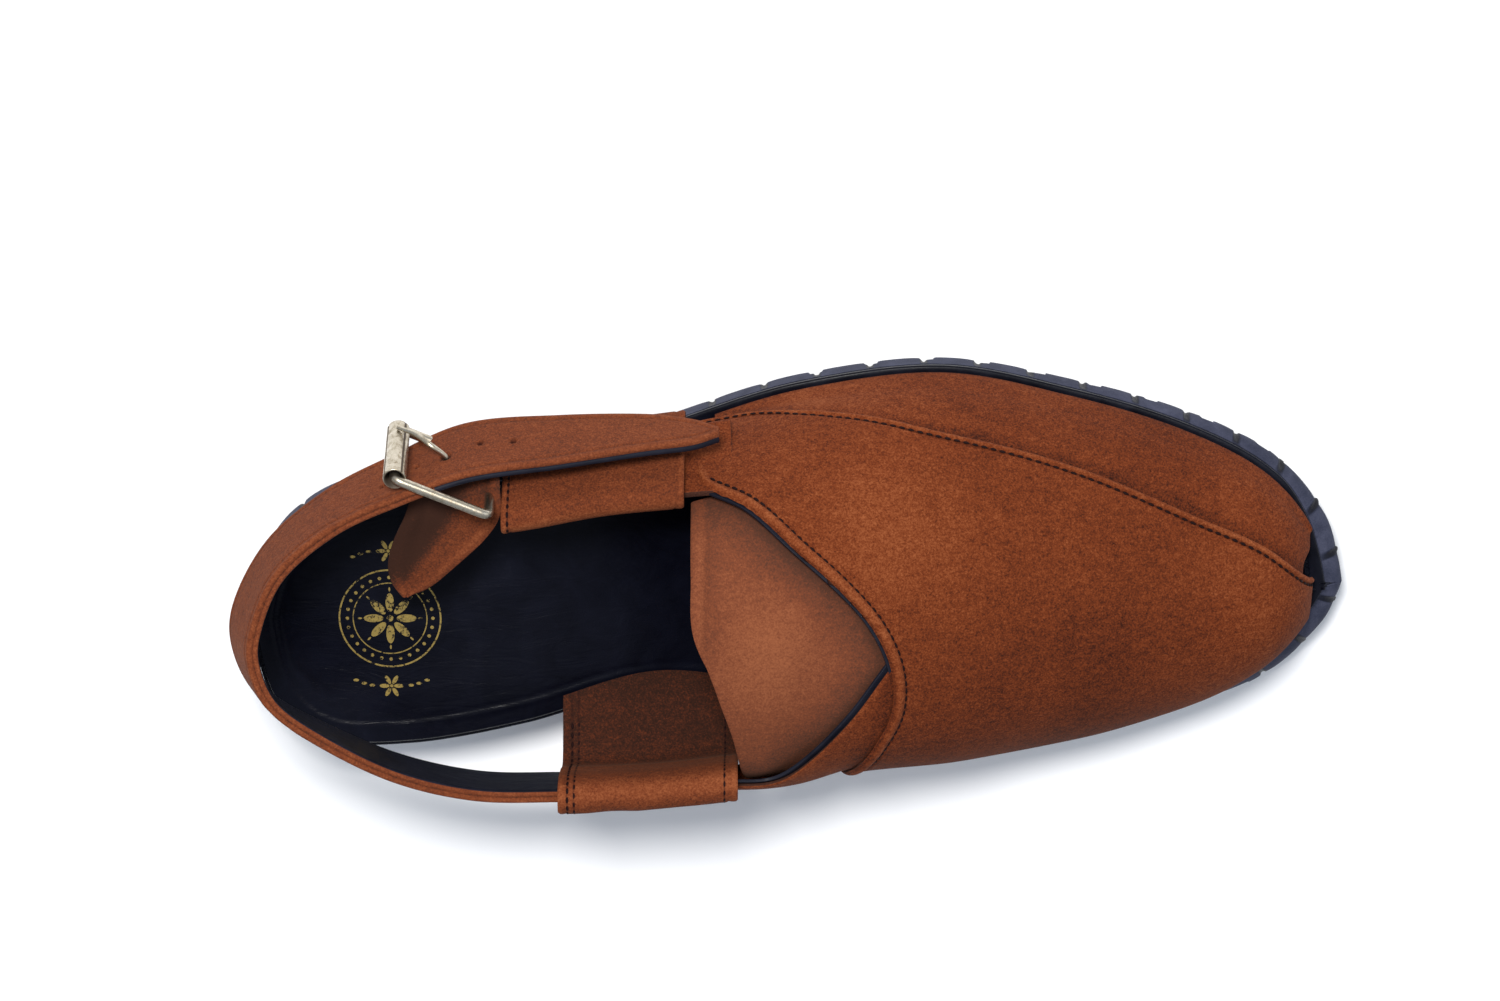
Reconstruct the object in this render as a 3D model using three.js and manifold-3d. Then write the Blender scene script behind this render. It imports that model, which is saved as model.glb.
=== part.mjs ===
// Left Peshawari chappal: two crossing suede panels on a lugged rubber sole, with a buckled heel strap.
// Millimetres. +X runs to the toe, +Y to the outer (lateral) side, +Z up; the sole stands on z = 0.

import * as THREE from 'three';
import { mergeVertices } from 'three/addons/utils/BufferGeometryUtils.js';
import Module from 'manifold-3d';

const wasm = await Module();
wasm.setup();

// Driving sizes
const soleLength = 288;
const ballWidth = 105;
const instepRise = 58;        // crown of the last over the feather line
const heelLift = 17;
const toeSpring = 10;
const outsoleThick = 7.2;
const midsoleThick = 1.7;
const insoleThick = 1.8;
const toeMargin = 4.2;        // sole left bare in front of the panels
const weltMargin = 1.4;       // bare strip of midsole round the panels
const panelThick = 2;
const tongueThick = 1.8;
const strapWidth = 24;
const strapThick = 3.2;
const strapRise = 60;         // height of the strap's middle line behind the heel
const loopThick = 1.8;
const loopLength = 46;
const lugPitch = 13.7;
const lugNotch = 2;
const treadDepth = 3;
const wireRadius = 1.4;
const rollerRadius = 2.7;
const prongRadius = 0.8;
const holeRadius = 1.5;
const buckleReach = 24;       // roller axis to hinge bar
const frameCorner = 3;
const sideGap = 2.2;          // side bars of the buckle to the strap's edges
const clearance = 0.3;

const degree = Math.PI / 180;
const vec = (x, y, z) => new THREE.Vector3(x, y, z);
const smooth = (value, from, to) => THREE.MathUtils.smoothstep(value, from, to);

// Tables: one row per station, lengths as shares of the sizes named beside them
// angle runs from the heel's back (0) to the toe tip (180); across is in ball widths, margin in toe margins
const soleRows = [
  { angle: 0, lateral: 0.048, medial: 0.048, lateralMargin: 0.4, medialMargin: 0.4 },
  { angle: 15, lateral: 0.205, medial: -0.124, lateralMargin: 0.4, medialMargin: 0.4 },
  { angle: 30, lateral: 0.320, medial: -0.252, lateralMargin: 0.4, medialMargin: 0.4 },
  { angle: 45, lateral: 0.382, medial: -0.290, lateralMargin: 0.4, medialMargin: 0.4 },
  { angle: 60, lateral: 0.430, medial: -0.243, lateralMargin: 0.4, medialMargin: 0.45 },
  { angle: 75, lateral: 0.515, medial: -0.176, lateralMargin: 0.4, medialMargin: 0.45 },
  { angle: 90, lateral: 0.611, medial: -0.250, lateralMargin: 0.4, medialMargin: 0.45 },
  { angle: 105, lateral: 0.654, medial: -0.335, lateralMargin: 0.4, medialMargin: 0.45 },
  { angle: 120, lateral: 0.600, medial: -0.322, lateralMargin: 0.55, medialMargin: 0.5 },
  { angle: 135, lateral: 0.526, medial: -0.255, lateralMargin: 0.75, medialMargin: 0.7 },
  { angle: 150, lateral: 0.425, medial: -0.157, lateralMargin: 0.95, medialMargin: 1.25 },
  { angle: 165, lateral: 0.270, medial: -0.014, lateralMargin: 1, medialMargin: 1.3 },
  { angle: 180, lateral: 0.100, medial: 0.100, lateralMargin: 1, medialMargin: 1 },
];
// crown across and bulge in ball widths, crown up in instep rises; edge is where the upper panel's
// stitched edge crosses the section, from 0 on the lateral feather line to 1 on the medial one
const lastRows = [
  { angle: 60, across: 0.060, up: 0.98, bulge: 0.16, edge: 0 },
  { angle: 75, across: 0.055, up: 1.05, bulge: 0.21, edge: 0 },
  { angle: 84, across: 0.050, up: 1.05, bulge: 0.20, edge: 0.035 },
  { angle: 90, across: 0.045, up: 1.03, bulge: 0.165, edge: 0.08 },
  { angle: 96, across: 0.046, up: 0.98, bulge: 0.10, edge: 0.12 },
  { angle: 105, across: 0.050, up: 0.88, bulge: 0.05, edge: 0.175 },
  { angle: 120, across: 0.060, up: 0.70, bulge: 0.01, edge: 0.22 },
  { angle: 135, across: 0.080, up: 0.52, bulge: 0, edge: 0.285 },
  { angle: 150, across: 0.100, up: 0.37, bulge: 0, edge: 0.34 },
  { angle: 165, across: 0.103, up: 0.20, bulge: 0, edge: 0.385 },
  { angle: 180, across: 0.100, up: 0.05, bulge: 0, edge: 0.5 },
];
// throat: angle at which the upper panel ends behind, per share of the way from its edge to the medial side
const throatRows = [
  { share: 0, angle: 79 },
  { share: 0.17, angle: 79.5 },
  { share: 0.22, angle: 84.3 },
  { share: 0.27, angle: 88.6 },
  { share: 0.32, angle: 93.4 },
  { share: 0.37, angle: 97 },
  { share: 0.43, angle: 99 },
  { share: 0.52, angle: 99.2 },
  { share: 0.62, angle: 97.4 },
  { share: 0.77, angle: 94.6 },
  { share: 1, angle: 92 },
];
// rear edge of the tongue, per share of its width from the lateral to the medial side
const tongueRows = [
  { share: 0, angle: 78.5 },
  { share: 0.25, angle: 79 },
  { share: 0.42, angle: 79.4 },
  { share: 0.58, angle: 81.8 },
  { share: 0.72, angle: 83.5 },
  { share: 1, angle: 84.5 },
];
// the under panel's band on the medial side: top and bottom edge over the last
const bandRows = [
  { angle: 83, top: 0.72, bottom: 0.86 },
  { angle: 87, top: 0.72, bottom: 0.90 },
  { angle: 91, top: 0.665, bottom: 0.91 },
  { angle: 95, top: 0.60, bottom: 0.91 },
  { angle: 98, top: 0.535, bottom: 0.91 },
  { angle: 103, top: 0.50, bottom: 0.90 },
];
// middle line of the strap's outer face: along in sole lengths, across in ball widths, up in strap
// rises, wide in strap widths; lean in degrees, top edge inwards
const strapRows = [
  { along: 0.4405, across: -0.312, up: 0.800, wide: 1, lean: 9 },
  { along: 0.365, across: -0.332, up: 0.812, wide: 1, lean: 9 },
  { along: 0.281, across: -0.339, up: 0.820, wide: 1, lean: 8 },
  { along: 0.208, across: -0.330, up: 0.843, wide: 1, lean: 8 },
  { along: 0.137, across: -0.270, up: 0.903, wide: 1, lean: 9 },
  { along: 0.070, across: -0.167, up: 0.963, wide: 1, lean: 12 },
  { along: 0.026, across: -0.075, up: 0.992, wide: 1, lean: 16 },
  { along: 0.007, across: 0.040, up: 1.005, wide: 1, lean: 18 },
  { along: 0.009, across: 0.150, up: 1, wide: 1, lean: 17 },
  { along: 0.036, across: 0.307, up: 0.970, wide: 1, lean: 12 },
  { along: 0.087, across: 0.427, up: 0.940, wide: 1, lean: 11 },
  { along: 0.142, across: 0.496, up: 0.895, wide: 1, lean: 13 },
  { along: 0.207, across: 0.547, up: 0.838, wide: 1, lean: 18 },
  { along: 0.288, across: 0.565, up: 0.785, wide: 0.87, lean: 19 },
  { along: 0.361, across: 0.578, up: 0.755, wide: 0.68, lean: 17 },
  { along: 0.403, across: 0.578, up: 0.745, wide: 0.47, lean: 16 },
  { along: 0.428, across: 0.580, up: 0.750, wide: 0.12, lean: 16 },
];
// section of a loop's outer face round the band in it: up in widths of that band from its bottom edge,
// over in loop rooms past that place, out in loop rooms from its middle plane
const loopRows = [
  { up: 0, over: -0.35, out: -0.98 },
  { up: 0.45, over: 0, out: -1.02 },
  { up: 0.92, over: 0, out: -1.00 },
  { up: 1, over: 0.55, out: -0.60 },
  { up: 1, over: 0.82, out: 0.10 },
  { up: 1, over: 0.45, out: 0.80 },
  { up: 0.86, over: 0, out: 1.06 },
  { up: 0.45, over: 0, out: 1.10 },
  { up: 0, over: -0.75, out: 0.90 },
];
// middle line of the ear that the upper panel sends through the lateral loop
const earRows = [
  { along: 0.440, across: 0.500, up: 0.64, wide: 1.05 },
  { along: 0.400, across: 0.492, up: 0.665, wide: 1.0 },
  { along: 0.330, across: 0.474, up: 0.70, wide: 0.95 },
  { along: 0.270, across: 0.448, up: 0.76, wide: 0.90 },
  { along: 0.240, across: 0.432, up: 0.80, wide: 0.80 },
];
// the leather leaf under the buckle, by its rear and front edge from root to tip
const tabRows = [
  { rearAlong: 0.170, rearAcross: 0.425, rearUp: 0.93, frontAlong: 0.232, frontAcross: 0.385, frontUp: 0.98 },
  { rearAlong: 0.142, rearAcross: 0.310, rearUp: 0.87, frontAlong: 0.212, frontAcross: 0.295, frontUp: 0.90 },
  { rearAlong: 0.136, rearAcross: 0.215, rearUp: 0.80, frontAlong: 0.188, frontAcross: 0.228, frontUp: 0.83 },
  { rearAlong: 0.144, rearAcross: 0.152, rearUp: 0.76, frontAlong: 0.160, frontAcross: 0.160, frontUp: 0.77 },
];

// Catmull-Rom through one column of a table whose first column rises
function column(rows, key, name, at, mirrored = false) {
  const last = rows.length - 1;
  const position = THREE.MathUtils.clamp(at, rows[0][key], rows[last][key]);
  let i = 0;
  while (i < last - 1 && rows[i + 1][key] < position) i += 1;
  const value = (k) => {
    if (k >= 0 && k <= last) return rows[k][name];
    const inner = rows[k < 0 ? -k : 2 * last - k][name];
    const end = rows[k < 0 ? 0 : last][name];
    return mirrored ? inner : 2 * end - inner;
  };
  const place = (k) => {
    if (k >= 0 && k <= last) return rows[k][key];
    return k < 0 ? 2 * rows[0][key] - rows[-k][key] : 2 * rows[last][key] - rows[2 * last - k][key];
  };
  const span = place(i + 1) - place(i);
  const t = (position - place(i)) / span;
  const slopeIn = (value(i + 1) - value(i - 1)) / (place(i + 1) - place(i - 1)) * span;
  const slopeOut = (value(i + 2) - value(i)) / (place(i + 2) - place(i)) * span;
  const t2 = t * t;
  const t3 = t2 * t;
  return (2 * t3 - 3 * t2 + 1) * value(i) + (t3 - 2 * t2 + t) * slopeIn
    + (3 * t2 - 2 * t3) * value(i + 1) + (t3 - t2) * slopeOut;
}

// The same by row number, for tables without a rising column; at runs from 0 to 1
function along(rows, name, at) {
  const numbered = rows.map((row, i) => ({ i, value: row[name] }));
  return column(numbered, 'i', 'value', at * (rows.length - 1));
}

// Sole
const angleAt = (x) => Math.acos(THREE.MathUtils.clamp(1 - 2 * x / soleLength, -1, 1)) / degree;

function soleBottom(x) {
  const waist = smooth(x / soleLength, 0.2, 0.52);
  const front = Math.max(0, (x / soleLength - 0.68) / 0.32);
  return heelLift * (1 - waist) + toeSpring * front ** 1.8;
}
const soleStack = outsoleThick + clearance + midsoleThick;
const featherHeight = (x) => soleBottom(x) + soleStack + clearance;
const insoleTop = (x) => soleBottom(x) + soleStack + clearance + insoleThick;

// Point of the sole's edge; turn runs 0 to 180 along the lateral side and on to 360 along the medial
function soleEdge(turn) {
  const wrapped = (turn + 360) % 360;
  const lateral = wrapped <= 180;
  const angle = lateral ? wrapped : 360 - wrapped;
  const across = column(soleRows, 'angle', lateral ? 'lateral' : 'medial', angle, true);
  return new THREE.Vector2(soleLength * (1 - Math.cos(angle * degree)) / 2, across * ballWidth);
}

function soleInset(turn, inset) {
  const direction = soleEdge(turn + 0.7).sub(soleEdge(turn - 0.7)).normalize();
  return soleEdge(turn).add(new THREE.Vector2(direction.y, -direction.x).multiplyScalar(inset));
}

const turnOf = (side, angle) => (side > 0 ? angle : 360 - angle);
const featherMargin = (side, angle) =>
  toeMargin * column(soleRows, 'angle', side > 0 ? 'lateralMargin' : 'medialMargin', angle, true);
const flare = (side, angle) => featherMargin(side, angle) - weltMargin;

// Solids
function closedGeometry(points, faces) {
  const geometry = new THREE.BufferGeometry();
  geometry.setAttribute('position', new THREE.Float32BufferAttribute(points.flatMap((p) => [p.x, p.y, p.z]), 3));
  geometry.setIndex(faces.flat());
  const merged = mergeVertices(geometry, 1e-3);
  const index = merged.index.array;
  const position = merged.attributes.position;
  const kept = [];
  let volume = 0;
  for (let i = 0; i < index.length; i += 3) {
    const [a, b, c] = [index[i], index[i + 1], index[i + 2]];
    if (a === b || b === c || c === a) continue;
    kept.push([a, b, c]);
    const [pa, pb, pc] = [a, b, c].map((k) => vec().fromBufferAttribute(position, k));
    volume += pa.dot(pb.cross(pc));
  }
  merged.setIndex(kept.flatMap(([a, b, c]) => (volume > 0 ? [a, b, c] : [a, c, b])));
  return merged;
}

// Two grids of points joined round their rims into one closed wall
function wallBetween(outer, inner) {
  const rows = outer.length;
  const columns = outer[0].length;
  const points = [...outer.flat(), ...inner.flat()];
  const shift = rows * columns;
  const at = (i, j) => i * columns + j;
  const faces = [];
  const quad = (a, b, c, d) => faces.push([a, b, c], [a, c, d]);
  for (let i = 0; i < rows - 1; i += 1) {
    for (let j = 0; j < columns - 1; j += 1) {
      quad(at(i, j), at(i + 1, j), at(i + 1, j + 1), at(i, j + 1));
      quad(shift + at(i, j), shift + at(i, j + 1), shift + at(i + 1, j + 1), shift + at(i + 1, j));
    }
    quad(at(i, 0), shift + at(i, 0), shift + at(i + 1, 0), at(i + 1, 0));
    quad(at(i, columns - 1), at(i + 1, columns - 1), shift + at(i + 1, columns - 1), shift + at(i, columns - 1));
  }
  for (let j = 0; j < columns - 1; j += 1) {
    quad(at(0, j), at(0, j + 1), shift + at(0, j + 1), shift + at(0, j));
    quad(at(rows - 1, j), shift + at(rows - 1, j), shift + at(rows - 1, j + 1), at(rows - 1, j + 1));
  }
  return closedGeometry(points, faces);
}

// Wall of even thickness behind a surface given by shares u and v; du x dv points outwards
function sheet(surface, rows, columns, thickness, outwards = 0) {
  const step = 0.004;
  const inside = (share) => THREE.MathUtils.clamp(share, step * 2, 1 - step * 2);
  const outer = [];
  const inner = [];
  for (let i = 0; i <= rows; i += 1) {
    const outerRow = [];
    const innerRow = [];
    for (let j = 0; j <= columns; j += 1) {
      const [u, v] = [i / rows, j / columns];
      const [a, b] = [inside(u), inside(v)];
      const du = surface(a + step, b).sub(surface(a - step, b));
      const dv = surface(a, b + step).sub(surface(a, b - step));
      const normal = du.cross(dv).normalize();
      const lift = typeof outwards === 'function' ? outwards(u, v) : outwards;
      const point = surface(u, v).addScaledVector(normal, lift);
      outerRow.push(point);
      innerRow.push(point.clone().addScaledVector(normal, -thickness));
    }
    outer.push(outerRow);
    inner.push(innerRow);
  }
  return wallBetween(outer, inner);
}

// Layer of the sole: each level gives a point per side and angle, angles rise from heel to toe
function soleLayer(levels, angles) {
  const sides = [1, -1].map((side) => levels.map((level) => angles.map((angle, i) => level(side, angle, i))));
  const count = angles.length;
  const points = sides.flat(2);
  const at = (side, level, i) => (side * levels.length + level) * count + i;
  const faces = [];
  const quad = (a, b, c, d) => faces.push([a, b, c], [a, c, d]);
  const top = levels.length - 1;
  for (let i = 0; i < count - 1; i += 1) {
    for (let k = 0; k < top; k += 1) {
      quad(at(0, k, i), at(0, k + 1, i), at(0, k + 1, i + 1), at(0, k, i + 1));
      quad(at(1, k, i), at(1, k, i + 1), at(1, k + 1, i + 1), at(1, k + 1, i));
    }
    quad(at(0, top, i), at(1, top, i), at(1, top, i + 1), at(0, top, i + 1));
    quad(at(0, 0, i), at(0, 0, i + 1), at(1, 0, i + 1), at(1, 0, i));
  }
  for (const [i, flip] of [[0, false], [count - 1, true]]) {
    for (let k = 0; k < top; k += 1) {
      const corners = [at(0, k, i), at(1, k, i), at(1, k + 1, i), at(0, k + 1, i)];
      quad(...(flip ? corners.reverse() : corners));
    }
  }
  return closedGeometry(points, faces);
}

function toManifold(geometry) {
  const vertProperties = new Float32Array(geometry.attributes.position.array);
  const triVerts = new Uint32Array(geometry.index.array);
  return new wasm.Manifold(new wasm.Mesh({ numProp: 3, vertProperties, triVerts }));
}

function fromManifold(solid) {
  const { vertProperties, triVerts } = solid.getMesh();
  const geometry = new THREE.BufferGeometry();
  geometry.setAttribute('position', new THREE.BufferAttribute(new Float32Array(vertProperties), 3));
  geometry.setIndex(new THREE.BufferAttribute(new Uint32Array(triVerts), 1));
  return geometry;
}

// A cut or join can leave a crumb or a pinhole void: only the body itself is kept
function largest(solid) {
  return solid.decompose().reduce((best, piece) => (piece.volume() > best.volume() ? piece : best));
}

function boxAt(size, centre) {
  return toManifold(bare(new THREE.BoxGeometry(size.x, size.y, size.z))).translate(centre.x, centre.y, centre.z);
}

function bare(geometry) {
  geometry.deleteAttribute('normal');
  geometry.deleteAttribute('uv');
  return mergeVertices(geometry, 1e-4);
}

// Angles for the lugs of one stretch of edge: each lug has a notch, a shoulder, a crest and a shoulder
const lugPhases = [0, 0.16, 0.5, 0.84];
function lugAngles(from, to) {
  const steps = 360;
  const angles = Array.from({ length: steps + 1 }, (_, i) => from + (to - from) * i / steps);
  const run = [0];
  for (let i = 1; i <= steps; i += 1) {
    const piece = [1, -1].map((side) => soleEdge(turnOf(side, angles[i])).distanceTo(soleEdge(turnOf(side, angles[i - 1]))));
    run.push(run[i - 1] + (piece[0] + piece[1]) / 2);
  }
  const lugs = Math.max(1, Math.round(run[steps] / lugPitch));
  const places = [];
  for (let lug = 0; lug < lugs; lug += 1) places.push(...lugPhases.map((phase) => (lug + phase) / lugs * run[steps]));
  places.push(run[steps]);
  return places.map((place) => {
    let i = 0;
    while (i < steps - 1 && run[i + 1] < place) i += 1;
    return angles[i] + (angles[i + 1] - angles[i]) * (place - run[i]) / (run[i + 1] - run[i]);
  });
}
const lugRelief = (i) => (i % lugPhases.length === 0 ? lugNotch : 0);

function layerPoint(side, angle, inset, height) {
  const edge = soleInset(turnOf(side, angle), inset);
  return vec(edge.x, edge.y, height(edge.x));
}

const treadEdge = 7;
const edgeRound = 0.8;

// Grooves straight across the tread, open at both sides
function treadGrooves(from, to, count, floor) {
  const width = lugPitch * 0.3;
  const [reach, middle] = [ballWidth * 1.6, ballWidth * 0.16];
  const grooves = [];
  for (let i = 0; i < count; i += 1) {
    const x = from + (to - from) * (i + 0.5) / count;
    grooves.push(boxAt(vec(width, reach, 2 * treadDepth), vec(x, middle, floor(x))));
  }
  return grooves.reduce((all, groove) => all.add(groove));
}

function outsole() {
  const levels = [
    (side, angle) => layerPoint(side, angle, treadEdge, soleBottom),
    (side, angle, i) => layerPoint(side, angle, edgeRound + lugRelief(i), (x) => soleBottom(x)),
    (side, angle, i) => layerPoint(side, angle, lugRelief(i), (x) => soleBottom(x) + edgeRound),
    (side, angle, i) => layerPoint(side, angle, flare(side, angle) / 2 + lugRelief(i) / 2,
      (x) => soleBottom(x) + outsoleThick * 0.7),
    (side, angle) => layerPoint(side, angle, flare(side, angle), (x) => soleBottom(x) + outsoleThick),
  ];
  const slab = toManifold(soleLayer(levels, lugAngles(1.2, 178.8)));
  const front = treadGrooves(soleLength * 0.49, soleLength * 0.95, 9, soleBottom);
  return fromManifold(largest(slab.subtract(front)));
}

const breast = soleLength * 0.2;
function heel() {
  const top = heelLift - clearance;
  const levels = [
    (side, angle) => layerPoint(side, angle, treadEdge, () => 0),
    (side, angle, i) => layerPoint(side, angle, edgeRound + lugRelief(i), () => 0),
    (side, angle, i) => layerPoint(side, angle, lugRelief(i), () => edgeRound),
    (side, angle) => layerPoint(side, angle, 0, () => heelLift / 2),
    (side, angle) => layerPoint(side, angle, -edgeRound, () => top),
  ];
  const block = toManifold(soleLayer(levels, lugAngles(1.2, angleAt(breast))));
  return fromManifold(largest(block.subtract(treadGrooves(breast * 0.25, breast * 0.95, 2, () => 0))));
}

const evenAngles = (count, from = 1.2, to = 178.8) =>
  Array.from({ length: count + 1 }, (_, i) => from + (to - from) * i / count);

function midsole() {
  const low = (x) => soleBottom(x) + outsoleThick + clearance;
  const high = (x) => soleBottom(x) + soleStack;
  const levels = [low, high].map((height) => (side, angle) => layerPoint(side, angle, flare(side, angle), height));
  return soleLayer(levels, evenAngles(44));
}

// The insole reaches the welt behind the panels and steps inside them in front
const toeRoom = 2.5;          // the panels lie low over the insole's tip
function insoleInset(side, angle) {
  const covered = side > 0 ? smooth(angle, 68, 76) : smooth(angle, 84, 91);
  return featherMargin(side, angle) + covered * (panelThick + 2 * clearance + toeRoom * smooth(angle, 140, 170));
}

function insole() {
  const low = (x) => insoleTop(x) - insoleThick;
  const levels = [low, insoleTop].map((height) => (side, angle) =>
    layerPoint(side, angle, insoleInset(side, angle), height));
  return soleLayer(levels, evenAngles(40, 2, 178));
}

// Upper: a point of the last's surface, share 0 on the lateral feather line, 1 on the medial
function lastPoint(angle, share) {
  const lateral = soleInset(angle, featherMargin(1, angle));
  const medial = soleInset(360 - angle, featherMargin(-1, angle));
  const crownAcross = column(lastRows, 'angle', 'across', angle) * ballWidth;
  const crownUp = column(lastRows, 'angle', 'up', angle) * instepRise;
  const bulge = column(lastRows, 'angle', 'bulge', angle) * ballWidth;
  const cosine = Math.cos(Math.PI * share);
  const sine = Math.sin(Math.PI * share);
  const x = (lateral.x * (1 + cosine) + medial.x * (1 - cosine)) / 2;
  const side = cosine > 0 ? lateral.y : medial.y;
  const y = crownAcross + (side - crownAcross) * Math.abs(cosine) + (cosine < 0 ? 2 * bulge * sine * cosine : 0);
  return vec(x, y, featherHeight(x) + crownUp * sine);
}

const toeAngle = 173;
const edgeShare = (angle) => column(lastRows, 'angle', 'edge', angle);
const underDrop = panelThick * 0.6;   // the under panel is sewn into the upper one this far below its face

function upperPanel() {
  const surface = (u, v) => {
    const angle = toeAngle + (column(throatRows, 'share', 'angle', v) - toeAngle) * u;
    const edge = edgeShare(angle);
    return lastPoint(angle, edge + (1 - edge) * v);
  };
  return sheet(surface, 22, 22, panelThick);
}

function underPanel() {
  const rear = 84;
  const overlap = 0.1;
  const surface = (u, v) => {
    const angle = toeAngle + (rear - toeAngle) * u;
    return lastPoint(angle, (edgeShare(angle) + overlap) * v);
  };
  const drop = (u, v) => {
    const angle = toeAngle + (rear - toeAngle) * u;
    return -underDrop * smooth((edgeShare(angle) + overlap) * v, 0, 0.08);
  };
  return sheet(surface, 20, 6, panelThick, drop);
}

function medialBand() {
  const [first, last] = [bandRows[0].angle, bandRows[bandRows.length - 1].angle];
  const surface = (u, v) => {
    const angle = last + (first - last) * u;
    const top = column(bandRows, 'angle', 'top', angle);
    const bottom = column(bandRows, 'angle', 'bottom', angle);
    return lastPoint(angle, top + (bottom - top) * v);
  };
  return sheet(surface, 8, 6, panelThick, -underDrop);
}

// Face of a band given by its middle line, from the top edge (v = 0) to the bottom edge (v = 1)
function bandFace(rows, lean, u, v) {
  const middle = (at) => vec(
    along(rows, 'along', at) * soleLength,
    along(rows, 'across', at) * ballWidth,
    along(rows, 'up', at) * strapRise,
  );
  const step = 0.01;
  const run = middle(Math.min(1, u + step)).sub(middle(Math.max(0, u - step))).setZ(0).normalize();
  const out = vec(-run.y, run.x, 0);
  const down = out.multiplyScalar(Math.sin(lean)).add(vec(0, 0, -Math.cos(lean)));
  return middle(u).addScaledVector(down, (v - 0.5) * strapWidth * along(rows, 'wide', u));
}

// The ear runs backwards, so its face is mirrored to look outwards
const earLean = -30 * degree;
const earFace = (u, v) => bandFace(earRows, earLean, u, v);
function ear() {
  return sheet((u, v) => earFace(u, 1 - v), 8, 2, panelThick);
}

function upper() {
  const parts = [upperPanel(), underPanel(), medialBand(), ear()].map(toManifold);
  return fromManifold(largest(parts.reduce((all, part) => all.add(part))));
}

function tongue() {
  const [lateralShare, medialShare] = [0.19, 0.79];
  const reach = 14;
  const surface = (u, v) => {
    const share = lateralShare + (medialShare - lateralShare) * v;
    const rear = column(tongueRows, 'share', 'angle', v);
    const front = column(throatRows, 'share', 'angle', share) + reach;
    return lastPoint(front + (rear - front) * u, share);
  };
  return sheet(surface, 10, 12, tongueThick, -(underDrop + panelThick + 3 * clearance));
}

// Straps
const strapFace = (u, v) => bandFace(strapRows, along(strapRows, 'lean', u) * degree, u, v);

function heelStrap() {
  const band = toManifold(sheet(strapFace, 46, 2, strapThick));
  const hole = new THREE.CylinderGeometry(holeRadius, holeRadius, 12, 8);
  const drill = toManifold(bare(hole)).transform(prongDrill());
  return fromManifold(band.subtract(drill));
}

// Loops: a band from the insole's edge round the strap or ear inside it and back
const loopSlack = 1.3;
const [innerFoot, outerFoot] = [5, 1.2];

// Share of a band's length at which its middle line passes x, or the nearer end of the stretch
function shareAt(face, x, from, to) {
  const heading = Math.sign(face(to, 0.5).x - face(from, 0.5).x);
  let [low, high] = [from, to];
  for (let i = 0; i < 30; i += 1) {
    const middleShare = (low + high) / 2;
    if ((face(middleShare, 0.5).x - x) * heading < 0) low = middleShare;
    else high = middleShare;
  }
  return (low + high) / 2;
}

function loop(side, start, carried) {
  const { face, thickness, from, to } = carried;
  const room = thickness / 2 + loopSlack + loopThick;
  const path = (x) => {
    const share = shareAt(face, x, from, to);
    const [top, bottom] = [face(share, 0), face(share, 1)];
    const up = top.clone().sub(bottom).setX(0);
    const out = vec(0, up.z, -up.y).normalize().multiplyScalar(side);
    const foot = (inset, rise) => {
      const edge = soleInset(turnOf(side, angleAt(x)), featherMargin(side, angleAt(x)) + inset);
      return vec(x, edge.y, insoleTop(x) + rise);
    };
    const around = loopRows.map((row) => {
      const point = bottom.clone().setX(x).addScaledVector(up, row.up + row.over * room / up.length());
      return point.addScaledVector(out, row.out * room - thickness / 2);
    });
    return new THREE.CatmullRomCurve3([
      foot(innerFoot, loopThick + clearance),
      ...around,
      foot(outerFoot, 3 * clearance),
    ]);
  };
  const paths = new Map();
  const surface = (u, v) => {
    const x = start + loopLength * v;
    if (!paths.has(x)) paths.set(x, path(x));
    return paths.get(x).getPoint(u);
  };
  return sheet(side > 0 ? (u, v) => surface(u, 1 - v) : surface, 28, 4, loopThick);
}

const medialLoop = () =>
  loop(-1, soleLength * 0.285, { face: strapFace, thickness: strapThick, from: 0, to: 0.2 });
const lateralLoop = () =>
  loop(1, soleLength * 0.238, { face: earFace, thickness: panelThick, from: 0, to: 1 });

// Buckle: a wire frame with a roller over the strap and a hinge bar behind it
const barAxis = vec(0.03, -0.28, 0.96).normalize();
const rollerCentre = vec(soleLength * 0.149, ballWidth * 0.541, strapRise * 0.88);
const hingeCentre = rollerCentre.clone().add(vec(0.95, -0.31, -0.06).normalize().multiplyScalar(buckleReach));
const barHalf = strapWidth / 2 + wireRadius + sideGap;

function tube(path, radius, sides, steps) {
  const section = new THREE.Shape();
  section.absarc(0, 0, radius, 0, 2 * Math.PI);
  const options = { steps, bevelEnabled: false, extrudePath: path, curveSegments: sides };
  return bare(new THREE.ExtrudeGeometry(section, options));
}

function buckleFrame() {
  const ends = [rollerCentre, hingeCentre];
  const [a, b] = ends.map((end) => end.clone().addScaledVector(barAxis, barHalf));
  const [d, c] = ends.map((end) => end.clone().addScaledVector(barAxis, -barHalf));
  const ring = [a, b, c, d];
  const points = ring.flatMap((point, i) => {
    const before = ring[(i + 3) % 4].clone().sub(point).setLength(frameCorner);
    const after = ring[(i + 1) % 4].clone().sub(point).setLength(frameCorner);
    const middle = point.clone().addScaledVector(before, 0.28).addScaledVector(after, 0.28);
    return [point.clone().add(before), middle, point.clone().add(after)];
  });
  return sweptRing(points, wireRadius, 8);
}

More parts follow.
